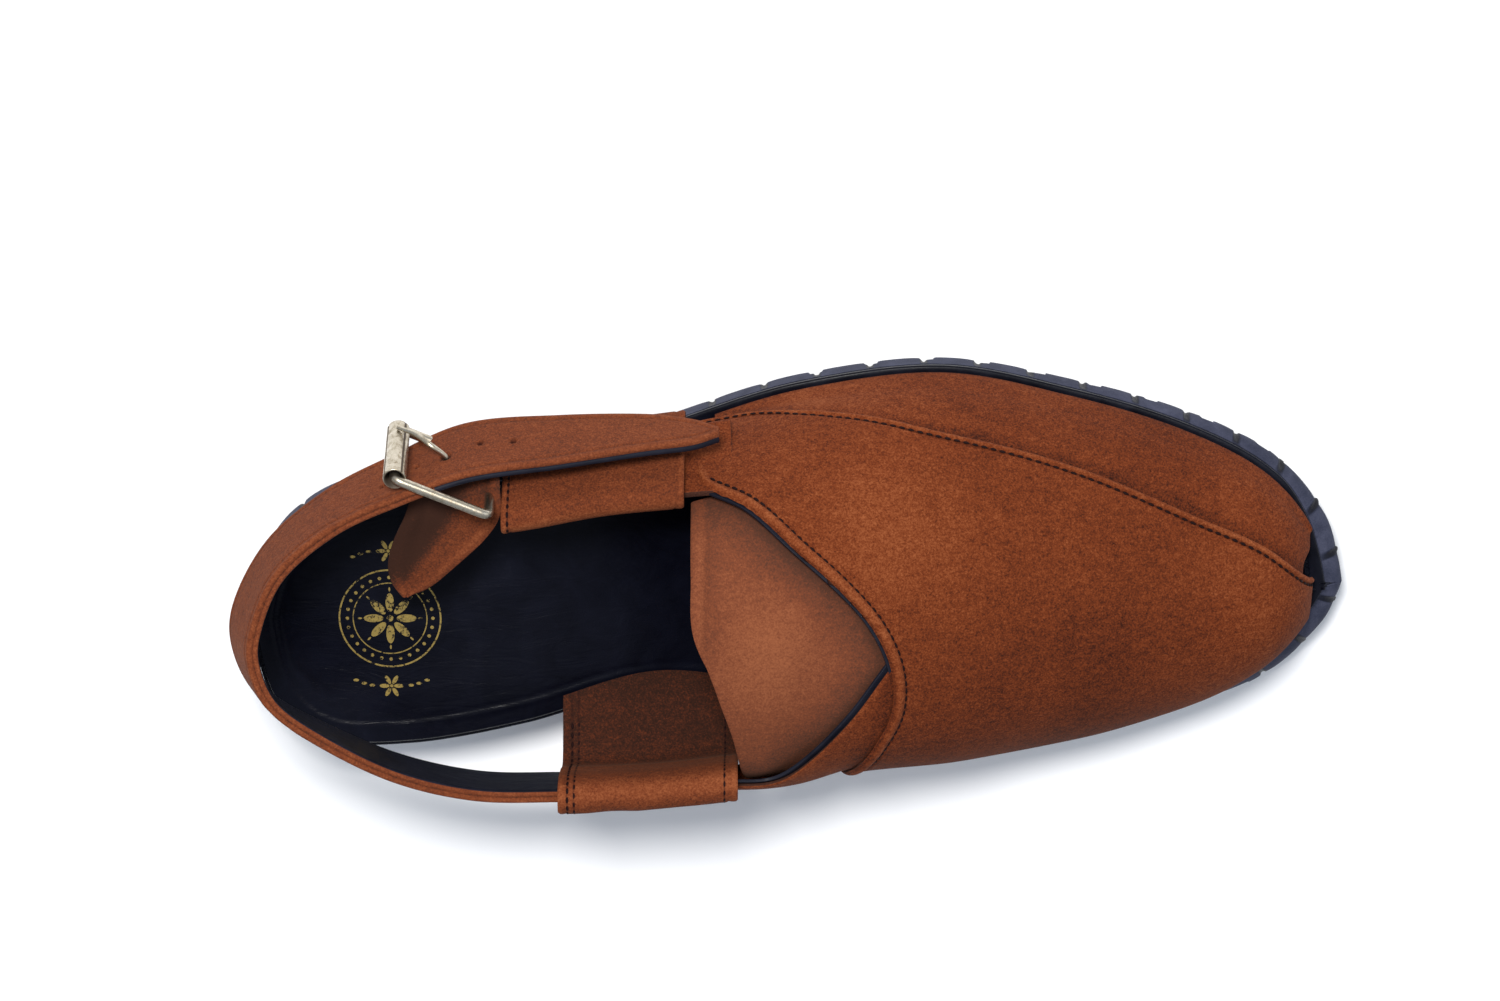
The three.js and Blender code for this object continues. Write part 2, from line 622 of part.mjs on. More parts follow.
// A round wire along a closed ring of points that lie in one plane
function sweptRing(points, radius, sides) {
  const count = points.length;
  const centre = points.reduce((sum, p) => sum.add(p), vec(0, 0, 0)).divideScalar(count);
  const normal = points[0].clone().sub(centre).cross(points[3].clone().sub(centre)).normalize();
  const faces = [];
  const all = [];
  points.forEach((point, i) => {
    const tangent = points[(i + 1) % count].clone().sub(points[(i + count - 1) % count]).normalize();
    const side = tangent.clone().cross(normal).normalize();
    for (let k = 0; k < sides; k += 1) {
      const turn = 2 * Math.PI * k / sides;
      all.push(point.clone().addScaledVector(side, radius * Math.cos(turn)).addScaledVector(normal, radius * Math.sin(turn)));
      const next = ((i + 1) % count) * sides;
      const [a, b] = [i * sides + k, i * sides + (k + 1) % sides];
      const [c, d] = [next + (k + 1) % sides, next + k];
      faces.push([a, b, c], [a, c, d]);
    }
  });
  return closedGeometry(all, faces);
}

function buckleRoller() {
  const half = barHalf - wireRadius - frameCorner;
  const bore = wireRadius + clearance;
  const profile = [[bore, -half], [rollerRadius, -half], [rollerRadius, half], [bore, half], [bore, -half]];
  const geometry = new THREE.LatheGeometry(profile.map(([r, h]) => new THREE.Vector2(r, h)), 16);
  geometry.applyQuaternion(new THREE.Quaternion().setFromUnitVectors(vec(0, 1, 0), barAxis));
  geometry.translate(...rollerCentre.toArray());
  return bare(geometry);
}

// The prong leaves the hinge bar, comes out through the strap and rests on the roller
const strapAt = (share, drop) => {
  const point = strapFace(share, 0.5 + drop);
  const back = strapFace(share - 0.01, 0.5 + drop);
  const side = strapFace(share, 0.6 + drop);
  const normal = point.clone().sub(back).cross(side.clone().sub(point)).normalize();
  return { point, normal };
};

function prongPath() {
  const hole = prongHole();
  const outside = (share) => hole.point.clone().lerp(rollerCentre, share);
  const rest = rollerCentre.clone().addScaledVector(hole.normal, rollerRadius + prongRadius + clearance);
  const root = hingeCentre.clone().lerp(hole.point, 0.28);
  const [arch, lean, overhang] = [2.6, 2, 3.2];   // bend outside the hole, sideways lean and tip on the roller
  return new THREE.CatmullRomCurve3([
    root,
    hole.point.clone().addScaledVector(hole.normal, -strapThick - prongRadius).add(vec(prongRadius, 0, 0)),
    hole.point.clone(),
    outside(0.3).addScaledVector(hole.normal, arch),
    rest.clone().addScaledVector(barAxis, -lean),
    rest.clone().addScaledVector(barAxis, -lean * 1.3).add(vec(-overhang, 0, 0)),
  ]);
}
const prongHole = () => strapAt(0.734, -0.07);

function prongDrill() {
  const { point, normal } = prongHole();
  const turn = new THREE.Quaternion().setFromUnitVectors(vec(0, 1, 0), normal);
  return new THREE.Matrix4().compose(point, turn, vec(1, 1, 1)).toArray();
}

function buckleTab() {
  const edge = (name, u) => vec(
    along(tabRows, `${name}Along`, u) * soleLength,
    along(tabRows, `${name}Across`, u) * ballWidth,
    along(tabRows, `${name}Up`, u) * strapRise,
  );
  const sag = 3;
  const surface = (u, v) => edge('rear', u).lerp(edge('front', u), v).add(vec(0, 0, -sag * 4 * v * (1 - v) * (1 - u)));
  return sheet(surface, 8, 5, panelThick - clearance);
}

// Assembly
const group = new THREE.Group();
const finishes = {
  rubber: { color: 0x5d6270, roughness: 0.75, metalness: 0 },
  black: { color: 0x14161c, roughness: 0.4, metalness: 0 },
  suede: { color: 0x8f4a26, roughness: 0.95, metalness: 0 },
  brass: { color: 0x9a8f76, roughness: 0.35, metalness: 1 },
};

function place(name, finish, geometry) {
  const mesh = new THREE.Mesh(geometry, new THREE.MeshStandardMaterial(finishes[finish]));
  mesh.name = name;
  group.add(mesh);
}

place('outsole', 'rubber', outsole());
place('heel', 'rubber', heel());
place('midsole', 'black', midsole());
place('insole', 'black', insole());
place('upper', 'suede', upper());
place('tongue', 'suede', tongue());
place('heel_strap', 'suede', heelStrap());
place('loop_medial', 'suede', medialLoop());
place('loop_lateral', 'suede', lateralLoop());
place('buckle_frame', 'brass', buckleFrame());
place('buckle_roller', 'brass', buckleRoller());
place('buckle_prong', 'brass', tube(prongPath(), prongRadius, 8, 20));
place('buckle_tab', 'suede', buckleTab());

// The frame's origin lies under the middle of the shoe
const bounds = new THREE.Box3().setFromObject(group);
const middle = bounds.getCenter(vec());
group.position.set(-middle.x, -middle.y, -bounds.min.z);

export default group;
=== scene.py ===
# Left Peshawari chappal in suede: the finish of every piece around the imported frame
import math
from functools import lru_cache

import bmesh
import bpy
from mathutils import Matrix, Vector
from mathutils.bvhtree import BVHTree
from mathutils.kdtree import KDTree


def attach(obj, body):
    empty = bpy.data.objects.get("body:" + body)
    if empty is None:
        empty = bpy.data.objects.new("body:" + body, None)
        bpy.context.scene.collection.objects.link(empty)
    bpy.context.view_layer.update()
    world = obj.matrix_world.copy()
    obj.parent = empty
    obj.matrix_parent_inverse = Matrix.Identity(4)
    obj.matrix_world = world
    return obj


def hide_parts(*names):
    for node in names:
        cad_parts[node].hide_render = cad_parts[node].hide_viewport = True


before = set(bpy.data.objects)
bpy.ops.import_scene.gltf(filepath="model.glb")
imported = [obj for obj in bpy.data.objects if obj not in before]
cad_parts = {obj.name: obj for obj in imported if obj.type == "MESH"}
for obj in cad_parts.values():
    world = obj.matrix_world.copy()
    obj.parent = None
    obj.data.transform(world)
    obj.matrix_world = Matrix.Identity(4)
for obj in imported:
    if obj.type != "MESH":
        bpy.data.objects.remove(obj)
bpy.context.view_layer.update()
print("frame loaded with", len(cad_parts), "nodes")

# Sizes in millimetres in the shoe's own frame: x from the heel's back to the toe, y outwards, z up
mm = .001
shoeOrigin = Vector((142.672, 13.797, 0))     # the frame's origin, seen from the heel's back
sole = {"length": 288, "ball": 105, "heelLift": 17, "toeSpring": 10, "outsole": 7.2, "midsole": 1.7,
        "insole": 1.8, "toeMargin": 4.2, "weltMargin": 1.4, "gap": .3, "lugPitch": 13.7, "tread": 3}
last = {"rise": 58, "panel": 2.0, "tongue": 1.8, "toeAngle": 165}
strap = {"width": 24, "thick": 3.2, "rise": 60}
underDrop = last["panel"] * .6


# Tables as in the frame's own model: shares of the sizes above
def rowsOf(text):
    lines = [line.split() for line in text.strip().splitlines()]
    return {name: [float(line[k]) for line in lines[1:]] for k, name in enumerate(lines[0])}


soleRows = rowsOf("""
angle lateral medial lateralMargin medialMargin
0 .048 .048 .4 .4
15 .205 -.166 .4 .4
30 .320 -.281 .4 .4
45 .382 -.290 .4 .4
60 .430 -.243 .4 .45
75 .515 -.176 .4 .45
90 .611 -.250 .4 .45
105 .654 -.335 .4 .45
120 .600 -.322 .55 .5
135 .526 -.255 .75 .7
150 .425 -.157 .95 1.25
165 .270 -.014 1 1.3
180 .100 .100 1 1""")
lastRows = rowsOf("""
angle across up bulge edge
60 .060 .98 .16 0
75 .055 1.05 .21 0
84 .050 1.05 .20 .035
90 .045 1.03 .165 .08
96 .046 .98 .10 .12
105 .050 .88 .05 .175
120 .060 .70 .01 .22
135 .080 .52 0 .285
150 .100 .37 0 .34
165 .103 .20 0 .43
180 .100 .05 0 .5""")
throatRows = rowsOf("""
share angle
0 79
.17 79.5
.22 84.3
.27 88.6
.32 93.4
.37 97
.43 99
.52 99.2
.62 97.4
.77 94.6
1 92""")
tongueRows = rowsOf("""
share angle
0 78.5
.25 79
.42 79.4
.58 81.8
.72 83.5
1 84.5""")
bandRows = rowsOf("""
angle top bottom
83 .72 .86
87 .72 .90
91 .665 .91
95 .60 .91
98 .535 .91
103 .43 .90""")
strapRows = rowsOf("""
along across up wide lean
.4405 -.312 .800 1 9
.365 -.332 .812 1 9
.281 -.339 .820 1 8
.208 -.330 .843 1 8
.137 -.270 .903 1 9
.070 -.167 .963 1 12
.026 -.075 .992 1 16
.007 .040 1.005 1 18
.009 .150 1 1 17
.036 .297 .970 1 12
.087 .414 .940 1 11
.142 .484 .895 1 13
.207 .547 .838 1 18
.288 .565 .785 .87 19
.361 .578 .755 .68 17
.403 .578 .745 .47 16
.428 .580 .750 .12 16""")
loopRows = rowsOf("""
up over out
0 -.35 -.98
.45 0 -1.02
.92 0 -1.00
1 .55 -.60
1 .82 .10
1 .45 .80
.86 0 1.06
.45 0 1.10
0 -.75 .90""")
earRows = rowsOf("""
along across up wide
.440 .500 .64 1.05
.400 .492 .665 1.0
.330 .474 .70 .95
.270 .448 .76 .90
.240 .432 .80 .80""")
tabRows = rowsOf("""
rearAlong rearAcross rearUp frontAlong frontAcross frontUp
.168 .490 .90 .236 .525 .88
.161 .446 .93 .2365 .473 .93
.153 .383 .91 .2365 .394 .93
.141 .309 .86 .224 .330 .89
.1355 .246 .82 .196 .251 .85
.138 .196 .79 .173 .190 .80
.146 .158 .77 .154 .160 .77""")


def smooth(value, low, high):
    t = min(1, max(0, (value - low) / (high - low)))
    return t * t * (3 - 2 * t)


def mix(a, b, t):
    return a + (b - a) * t


def bump(value, middle, width):
    # a soft rounded ridge, 1 at its middle and 0 a width away
    t = min(1, abs(value - middle) / width)
    return (1 - t * t) ** 2


# Catmull-Rom through one column of a table
def column(rows, key, name, at, mirrored=False):
    places, values = rows[key], rows[name]
    end = len(places) - 1
    at = min(max(at, places[0]), places[end])
    i = 0
    while i < end - 1 and places[i + 1] < at:
        i += 1

    def value(k):
        if 0 <= k <= end:
            return values[k]
        inner = values[-k if k < 0 else 2 * end - k]
        return inner if mirrored else 2 * values[0 if k < 0 else end] - inner

    def place(k):
        if 0 <= k <= end:
            return places[k]
        return 2 * places[0] - places[-k] if k < 0 else 2 * places[end] - places[2 * end - k]

    span = place(i + 1) - place(i)
    t = (at - place(i)) / span
    slopeIn = (value(i + 1) - value(i - 1)) / (place(i + 1) - place(i - 1)) * span
    slopeOut = (value(i + 2) - value(i)) / (place(i + 2) - place(i)) * span
    t2, t3 = t * t, t * t * t
    return ((2 * t3 - 3 * t2 + 1) * value(i) + (t3 - 2 * t2 + t) * slopeIn
            + (3 * t2 - 2 * t3) * value(i + 1) + (t3 - t2) * slopeOut)


def along(rows, name, at):
    values = rows[name]
    numbered = {"i": range(len(values)), "value": values}
    return column(numbered, "i", "value", at * (len(values) - 1))


# Sole
def angleAt(x):
    return math.degrees(math.acos(min(1, max(-1, 1 - 2 * x / sole["length"]))))


def soleBottom(x):
    share = x / sole["length"]
    front = max(0, (share - .68) / .32)
    return sole["heelLift"] * (1 - smooth(share, .2, .52)) + sole["toeSpring"] * front ** 1.8


soleStack = sole["outsole"] + sole["gap"] + sole["midsole"]


def featherHeight(x):
    return soleBottom(x) + soleStack + sole["gap"]


def insoleTop(x):
    return featherHeight(x) + sole["insole"]


def soleEdge(turn):
    turn %= 360
    angle = turn if turn <= 180 else 360 - turn
    across = column(soleRows, "angle", "lateral" if turn <= 180 else "medial", angle, True)
    return Vector((sole["length"] * (1 - math.cos(math.radians(angle))) / 2, across * sole["ball"]))


edgeSteps = 1440
edgePoints = [soleEdge(360 * k / edgeSteps) for k in range(edgeSteps)]


def soleInset(turn, inset):
    # linear between close samples of the edge, moved in along its normal
    spot = turn % 360 / 360 * edgeSteps
    k, t = int(spot), spot - int(spot)

    def at(i):
        return edgePoints[i % edgeSteps]
    way = (at(k + 3) - at(k - 3)) * (1 - t) + (at(k + 4) - at(k - 2)) * t
    way.normalize()
    return at(k).lerp(at(k + 1), t) + Vector((way.y, -way.x)) * inset


def turnOf(side, angle):
    return angle if side > 0 else 360 - angle


def featherMargin(side, angle):
    name = "lateralMargin" if side > 0 else "medialMargin"
    return sole["toeMargin"] * column(soleRows, "angle", name, angle, True)


def flare(side, angle):
    # the rubber lip is wider round the toe
    return featherMargin(side, angle) - sole["weltMargin"] + 2.4 * smooth(angle, 152, 170)


# Last: share 0 on the lateral feather line, 1 on the medial one
@lru_cache(None)
def lastSection(step):
    angle = step / 2
    # the panels come down in a round to the sole at the toe
    t = min(1, max(0, (angle - 152) / 13.4))
    toeRound = math.sqrt(1 - t * t)
    lateral = soleInset(angle, featherMargin(1, angle))
    medial = soleInset(360 - angle, featherMargin(-1, angle))
    names = ("across", "up", "bulge", "edge")
    across, up, bulge, edge = (column(lastRows, "angle", name, angle) for name in names)
    ball = sole["ball"]
    return lateral, medial, across * ball, up * last["rise"] * toeRound, bulge * ball, edge


def section(angle):
    k = math.floor(angle * 2)
    t = angle * 2 - k
    return [a * (1 - t) + b * t for a, b in zip(lastSection(k), lastSection(k + 1))]


def edgeShare(angle):
    return section(angle)[5]


def lastPoint(angle, share):
    lateral, medial, across, up, bulge, _ = section(angle)
    c, s = math.cos(math.pi * share), math.sin(math.pi * share)
    x = (lateral.x * (1 + c) + medial.x * (1 - c)) / 2
    y = across + ((lateral.y if c > 0 else medial.y) - across) * abs(c) + (2 * bulge * s * c if c < 0 else 0)
    return Vector((x, y, featherHeight(x) + up * s))


# Bands given by their middle line
def bandMiddle(rows, at):
    return Vector((along(rows, "along", at) * sole["length"], along(rows, "across", at) * sole["ball"],
                   along(rows, "up", at) * strap["rise"]))


def bandFace(rows, lean, u, v):
    run = bandMiddle(rows, min(1, u + .01)) - bandMiddle(rows, max(0, u - .01))
    run.z = 0
    run.normalize()
    down = Vector((-run.y * math.sin(lean), run.x * math.sin(lean), -math.cos(lean)))
    return bandMiddle(rows, u) + down * ((v - .5) * strap["width"] * along(rows, "wide", u))


def strapFace(u, v):
    return bandFace(strapRows, math.radians(along(strapRows, "lean", u)), u, v)


def earFace(u, v):
    return bandFace(earRows, math.radians(-30), u, v)


# Centripetal Catmull-Rom through free points
def curveAt(points, t):
    end = len(points) - 1
    spot = min(max(t, 0), 1) * end
    k = min(int(spot), end - 1)
    w = spot - k
    p1, p2 = points[k], points[k + 1]
    p0 = points[k - 1] if k > 0 else p1 * 2 - p2
    p3 = points[k + 2] if k + 2 <= end else p2 * 2 - p1
    d0, d1, d2 = (max((b - a).length, 1e-6) ** .5 for a, b in ((p0, p1), (p1, p2), (p2, p3)))
    m1 = ((p1 - p0) / d0 - (p2 - p0) / (d0 + d1) + (p2 - p1) / d1) * d1
    m2 = ((p2 - p1) / d1 - (p3 - p1) / (d1 + d2) + (p3 - p2) / d2) * d1
    return p1 + m1 * w + (3 * (p2 - p1) - 2 * m1 - m2) * w ** 2 + (2 * (p1 - p2) + m1 + m2) * w ** 3


# Shader nodes
class Value:
    # wraps a socket, so that shader maths is written as an expression
    def __init__(self, finish, socket):
        self.finish, self.socket = finish, socket

    def math(self, operation, *others, turned=False):
        terms = (*others, self) if turned else (self, *others)
        return self.finish.node("Math", dict(enumerate(terms)), operation=operation)

    def __add__(self, other):
        return self.math("ADD", other)

    def __radd__(self, other):
        return self.math("ADD", other)

    def __sub__(self, other):
        return self.math("SUBTRACT", other)

    def __rsub__(self, other):
        return self.math("SUBTRACT", other, turned=True)

    def __mul__(self, other):
        return self.math("MULTIPLY", other)

    def between(self, low, high, first=0, final=1):
        inputs = {0: self, 1: low, 2: high, 3: first, 4: final}
        return self.finish.node("MapRange", inputs, interpolation_type="SMOOTHSTEP")


class Finish:
    def __init__(self, name):
        self.material = bpy.data.materials.new(name)
        self.material.use_nodes = True
        self.nodes = self.material.node_tree.nodes
        self.links = self.material.node_tree.links
        self.nodes.clear()

    def node(self, kind, inputs=(), output=0, stops=(), **settings):
        made = self.nodes.new("ShaderNode" + kind)
        for name, value in settings.items():
            setattr(made, name, value)
        if stops:
            ramp = made.color_ramp
            while len(ramp.elements) < len(stops):
                ramp.elements.new(1)
            for element, (place, colour) in zip(ramp.elements, stops):
                element.position, element.color = place, (*colour, 1)
        for name, value in dict(inputs).items():
            if isinstance(value, Value):
                self.links.new(value.socket, made.inputs[name])
            else:
                made.inputs[name].default_value = value
        return Value(self, made.outputs[output] if made.outputs else None)

    def place(self, scale=(1, 1, 1), turn=0):
        coordinates = self.node("TexCoord", output="Object")
        return self.node("Mapping", {"Vector": coordinates, "Scale": scale, "Rotation": (0, 0, turn)})

    def noise(self, size, detail=3, rough=.6, where=None, twist=0):
        # size of the pattern in millimetres
        inputs = {"Vector": where or self.place(), "Scale": 1 / (size * mm), "Detail": detail,
                  "Roughness": rough, "Distortion": twist}
        return self.node("TexNoise", inputs)

    def attribute(self, name):
        return self.node("Attribute", output="Fac", attribute_name=name)

    def blend(self, factor, a, b):
        return self.node("Mix", {0: factor, 6: a, 7: b}, output=2, data_type="RGBA", clamp_factor=True)

    def ramp(self, value, *stops):
        return self.node("ValToRGB", {0: value}, stops=stops)

    def height(self, value, depth, normal=None):
        inputs = {"Height": value, "Distance": depth * mm, "Strength": 1}
        if normal:
            inputs["Normal"] = normal
        return self.node("Bump", inputs)

    def done(self, **inputs):
        names = {name.replace("_", " "): value for name, value in inputs.items()}
        shader = self.node("BsdfPrincipled", names)
        self.node("OutputMaterial", {"Surface": shader})
        return self.material


suedeLook = {"hollow": (.007, .0022, .0016), "deep": (.030, .0070, .0032), "shade": (.074, .0150, .0046),
             "mid": (.141, .0285, .0068), "light": (.270, .078, .026), "grey": (.200, .080, .046, 1),
             "thread": (.014, .004, .004, 1), "grain": .5, "sheen": .035}


def suede(name, tint=0, grey=0):
    # nap: a fine grain, a blotchy coarser one and slow changes of shade; tint lightens it
    f = Finish(name)
    grain = f.noise(suedeLook["grain"], 3, .75)
    speck = f.noise(suedeLook["grain"] * 2.6, 2, .6, twist=.4)
    blotch = f.noise(5.5, 4, .62, twist=.6)
    slow = f.noise(34, 3, .5, twist=.5)
    brushed = f.noise(2.4, 3, .6, f.place((.35, 1, 1), .5))
    # the tone attribute carries the light and shade painted on each piece
    tone = f.attribute("tone")
    seam = f.attribute("seam")
    shade = .5 + tint + tone * .6 + (grain - .5) * 1.25 + (speck - .5) * .45 + (blotch - .5) * .12
    shade = shade + (slow - .5) * .30 + (brushed - .5) * .20
    colour = f.ramp(shade, (0, suedeLook["hollow"]), (.18, suedeLook["deep"]), (.34, suedeLook["shade"]),
                    (.56, suedeLook["mid"]), (.95, suedeLook["light"]))
    if grey:
        colour = f.blend(grey, colour, suedeLook["grey"])
    # the seam attribute gives sewn rows the thread colour, and painted shade to the strap's holes and the
    # leaf's crease
    colour = f.blend(seam.between(.2, 1, 0, .8), colour, suedeLook["thread"])
    relief = f.height(grain * .6 + speck * .4, .16)
    relief = f.height(blotch * .5 + brushed * .5, .22, relief)
    return f.done(Base_Color=colour, Roughness=.93, Normal=relief, Specular_IOR_Level=.12,
                  Sheen_Weight=suedeLook["sheen"], Sheen_Roughness=.45, Sheen_Tint=(.75, .40, .25, 1))


def cutEdge():
    # fibres of the cut leather, darker than the nap
    f = Finish("suede_cut")
    fibre = f.noise(.5, 3, .7)
    colour = f.ramp(fibre, (.2, (.020, .007, .005)), (.6, (.065, .022, .012)), (.9, (.13, .048, .026)))
    return f.done(Base_Color=colour, Roughness=.9, Normal=f.height(fibre, .12), Specular_IOR_Level=.2)


def lining():
    # smooth blue black leather that faces the foot
    f = Finish("lining")
    pore = f.noise(.5, 3, .6)
    crease = f.noise(7, 3, .55, f.place((.5, 1, 1)), 1.2)
    scuff = f.noise(16, 4, .6)
    colour = f.ramp(scuff, (.35, (.006, .0065, .012)), (.75, (.016, .017, .028)))
    relief = f.height(crease, .35, f.height(pore, .05))
    return f.done(Base_Color=colour, Roughness=scuff.between(.3, .8, .45, .6), Normal=relief,
                  Specular_IOR_Level=.15)


def glazed():
    f = Finish("glazed_black")
    pore = f.noise(.45, 2, .6)
    wrinkle = f.noise(6.5, 4, .62, f.place((.42, 1.5, 1), .12), 1.6)
    scuff = f.noise(11, 5, .7, twist=.8)
    dust = f.noise(30, 3, .5)
    mark = f.noise(3.2, 5, .8, f.place((.18, 1.3, 1), .25), 2.5)
    colour = f.ramp(scuff * .6 + dust * .4, (.35, (.0018, .0020, .0045)), (.62, (.0040, .0045, .0095)),
                    (.8, (.010, .011, .019)))
    colour = f.blend(mark.between(.66, .82, 0, .16), colour, (.030, .033, .050, 1))
    rough = dust.between(.3, .75, .26, .40) + mark.between(.6, .8, 0, .15)
    relief = f.height(wrinkle, .20, f.height(pore, .02))
    return f.done(Base_Color=colour, Roughness=rough, Normal=relief, Specular_IOR_Level=.09)


def rubber():
    # dusty blue grey moulded rubber, black where the dust is rubbed off; its tone attribute adds painted
    # shade, black in the lug notches
    f = Finish("rubber_sole")
    fine = f.noise(.35, 3, .7)
    dust = f.noise(6, 4, .65, twist=.5)
    slow = f.noise(26, 2, .5)
    wearAndShade = f.attribute("tone")
    shade = .5 + wearAndShade * .5 + (dust - .5) * .5 + (slow - .5) * .35 + (fine - .5) * .35
    colour = f.ramp(shade, (.05, (.004, .004, .008)), (.32, (.007, .008, .016)), (.60, (.028, .031, .053)),
                    (.98, (.084, .088, .132)))
    relief = f.height(fine, .06, f.height(dust, .12))
    return f.done(Base_Color=colour, Roughness=shade.between(.1, .8, .42, .72), Normal=relief,
                  Specular_IOR_Level=.12)


def weltBlack():
    f = Finish("welt_black")
    fine = f.noise(.5, 3, .6)
    wear = f.noise(9, 4, .6, twist=.4)
    colour = f.ramp(wear, (.35, (.0015, .0016, .0040)), (.8, (.006, .007, .014)))
    return f.done(Base_Color=colour, Roughness=wear.between(.3, .8, .30, .45), Normal=f.height(fine, .04),
                  Specular_IOR_Level=.12)


def brass():
    # pale worn plating over brass: bright on the crests, brown where grime sits
    f = Finish("aged_brass")
    brush = f.noise(.25, 3, .7, f.place((1, 1, .2)))
    grime = f.noise(1.7, 4, .65, twist=.6)
    # the tone attribute darkens the roller's seams and lays painted shade inside its bore
    wearAndShade = f.attribute("tone")
    shade = grime * .7 + brush * .3 - wearAndShade * .35
    colour = f.ramp(shade, (.25, (.70, .64, .54)), (.5, (.50, .44, .34)), (.68, (.24, .19, .12)),
                    (.85, (.07, .05, .035)))
    rough = shade.between(.3, .8, .24, .55)
    return f.done(Base_Color=colour, Metallic=shade.between(.6, .9, 1, .55), Roughness=rough,
                  Normal=f.height(brush, .02, f.height(grime, .03)))


def thread():
    f = Finish("maroon_thread")
    ply = f.noise(.22, 2, .5)
    colour = f.ramp(ply, (.3, (.005, .0015, .0015)), (.7, (.018, .005, .0045)))
    return f.done(Base_Color=colour, Roughness=.75, Normal=f.height(ply, .05), Specular_IOR_Level=.1)


def foil():
    # stamped foil, thin and broken where feet have rubbed it
    f = Finish("gold_foil")
    rub = f.noise(1.1, 4, .7, twist=.5)
    patch = f.noise(9, 3, .5)
    wearAndShade = (rub * .7 + patch * .3).between(.46, .60)
    colour = f.blend(wearAndShade, (.44, .31, .085, 1), (.07, .052, .02, 1))
    return f.done(Base_Color=colour, Metallic=wearAndShade.between(0, 1, .75, .2), Roughness=.38,
                  Normal=f.height(rub, .02), Alpha=1 - wearAndShade.between(.55, 1, 0, .85))


finishes = {
    "panel": suede("suede_panel"),
    "under": suede("suede_under", tint=.01),
    "tongue": suede("suede_tongue", tint=.05, grey=.30),
    "strap": suede("suede_strap", tint=.02, grey=.15),
    "loop": suede("suede_loop", grey=.10),
    "cut": cutEdge(), "lining": lining(), "glazed": glazed(), "rubber": rubber(), "welt": weltBlack(),
    "brass": brass(), "thread": thread(), "foil": foil(),
}
print("materials made:", len(finishes))


# Pieces
def toFrame(point):
    return (point - shoeOrigin) * mm


def finished(bm, name, slot, nodes, *materials, smoothed=True):
    # turns a bmesh in shoe millimetres into a piece that rides on the shoe
    for vert in bm.verts:
        vert.co = toFrame(vert.co)
    mesh = bpy.data.meshes.new(name)
    bm.to_mesh(mesh)
    bm.free()
    for material in materials:
        mesh.materials.append(finishes[material])
    if smoothed:
        mesh.shade_smooth()
    piece = bpy.data.objects.new(name, mesh)
    bpy.context.scene.collection.objects.link(piece)
    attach(piece, "root")
    if nodes:
        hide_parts(*nodes)
    return piece


def marks(bm):
    return bm.verts.layers.float.new("tone"), bm.verts.layers.float.new("seam")


def grid(surface, columns, rows, lift=None, paint=None):
    # a sheet of the face given by shares u and v; lift raises it along its normal, paint gives tone and seam
    bm = bmesh.new()
    bmesh.ops.create_grid(bm, x_segments=columns, y_segments=rows, size=.5)
    tone, seam = marks(bm)
    shares = {vert: (vert.co.x + .5, vert.co.y + .5) for vert in bm.verts}
    uv = bm.loops.layers.uv.new("UVMap")
    for face in bm.faces:
        for loop in face.loops:
            loop[uv].uv = shares[loop.vert]
    for vert in bm.verts:
        vert.co = surface(*shares[vert])
    bm.normal_update()
    if lift:
        raised = [(vert, vert.normal * lift(*shares[vert], vert.co)) for vert in bm.verts]
        for vert, move in raised:
            vert.co += move
    if paint:
        for vert in bm.verts:
            vert[tone], vert[seam] = paint(*shares[vert], vert.co)
    bm.normal_update()
    return bm


def walled(piece, thick, edgeRound=.35, segments=2, rim=1, inside=0):
    wall = piece.modifiers.new("wall", "SOLIDIFY")
    wall.thickness, wall.offset = thick * mm, -1
    wall.use_even_offset = False
    wall.use_rim = True
    wall.material_offset, wall.material_offset_rim = inside, rim
    if edgeRound:
        rounding = piece.modifiers.new("edges", "BEVEL")
        rounding.width, rounding.segments = edgeRound * mm, segments
        rounding.limit_method, rounding.angle_limit = "ANGLE", math.radians(50)
        rounding.harden_normals = False
    return piece


def near(points):
    # distance from a place to a dense row of points
    tree = KDTree(len(points))
    for k, point in enumerate(points):
        tree.insert(point, k)
    tree.balance()
    return lambda place: tree.find(place)[2]


stitchLook = {"pitch": 2.4, "length": 1.7, "wide": .78, "high": .46}


def stitchRow(name, path, normal, skip=(), pitch=stitchLook["pitch"], sink=.05):
    # thread showing between its holes, each stitch a small lens in line with the row
    lengths = [0]
    for a, b in zip(path, path[1:]):
        lengths.append(lengths[-1] + (b - a).length)
    count = max(1, round(lengths[-1] / pitch))
    bm = bmesh.new()
    spot = 0
    for k in range(count):
        middle = (k + .5) * lengths[-1] / count
        while spot < len(path) - 2 and lengths[spot + 1] < middle:
            spot += 1
        share = (middle - lengths[spot]) / (lengths[spot + 1] - lengths[spot])
        point = path[spot].lerp(path[spot + 1], share)
        way = (path[spot + 1] - path[spot]).normalized()
        up = normal[spot].lerp(normal[spot + 1], share)
        up = (up - way * up.dot(way)).normalized()
        side = up.cross(way)
        turn = Matrix((way, side, up)).transposed().to_4x4()
        sizes = Matrix.Diagonal((stitchLook["length"] / 2, stitchLook["wide"] / 2, stitchLook["high"] / 2, 1))
        matrix = Matrix.Translation(point - up * sink) @ turn @ sizes
        bmesh.ops.create_icosphere(bm, subdivisions=2, radius=1, matrix=matrix)
    return finished(bm, name, "suede", (), "thread")


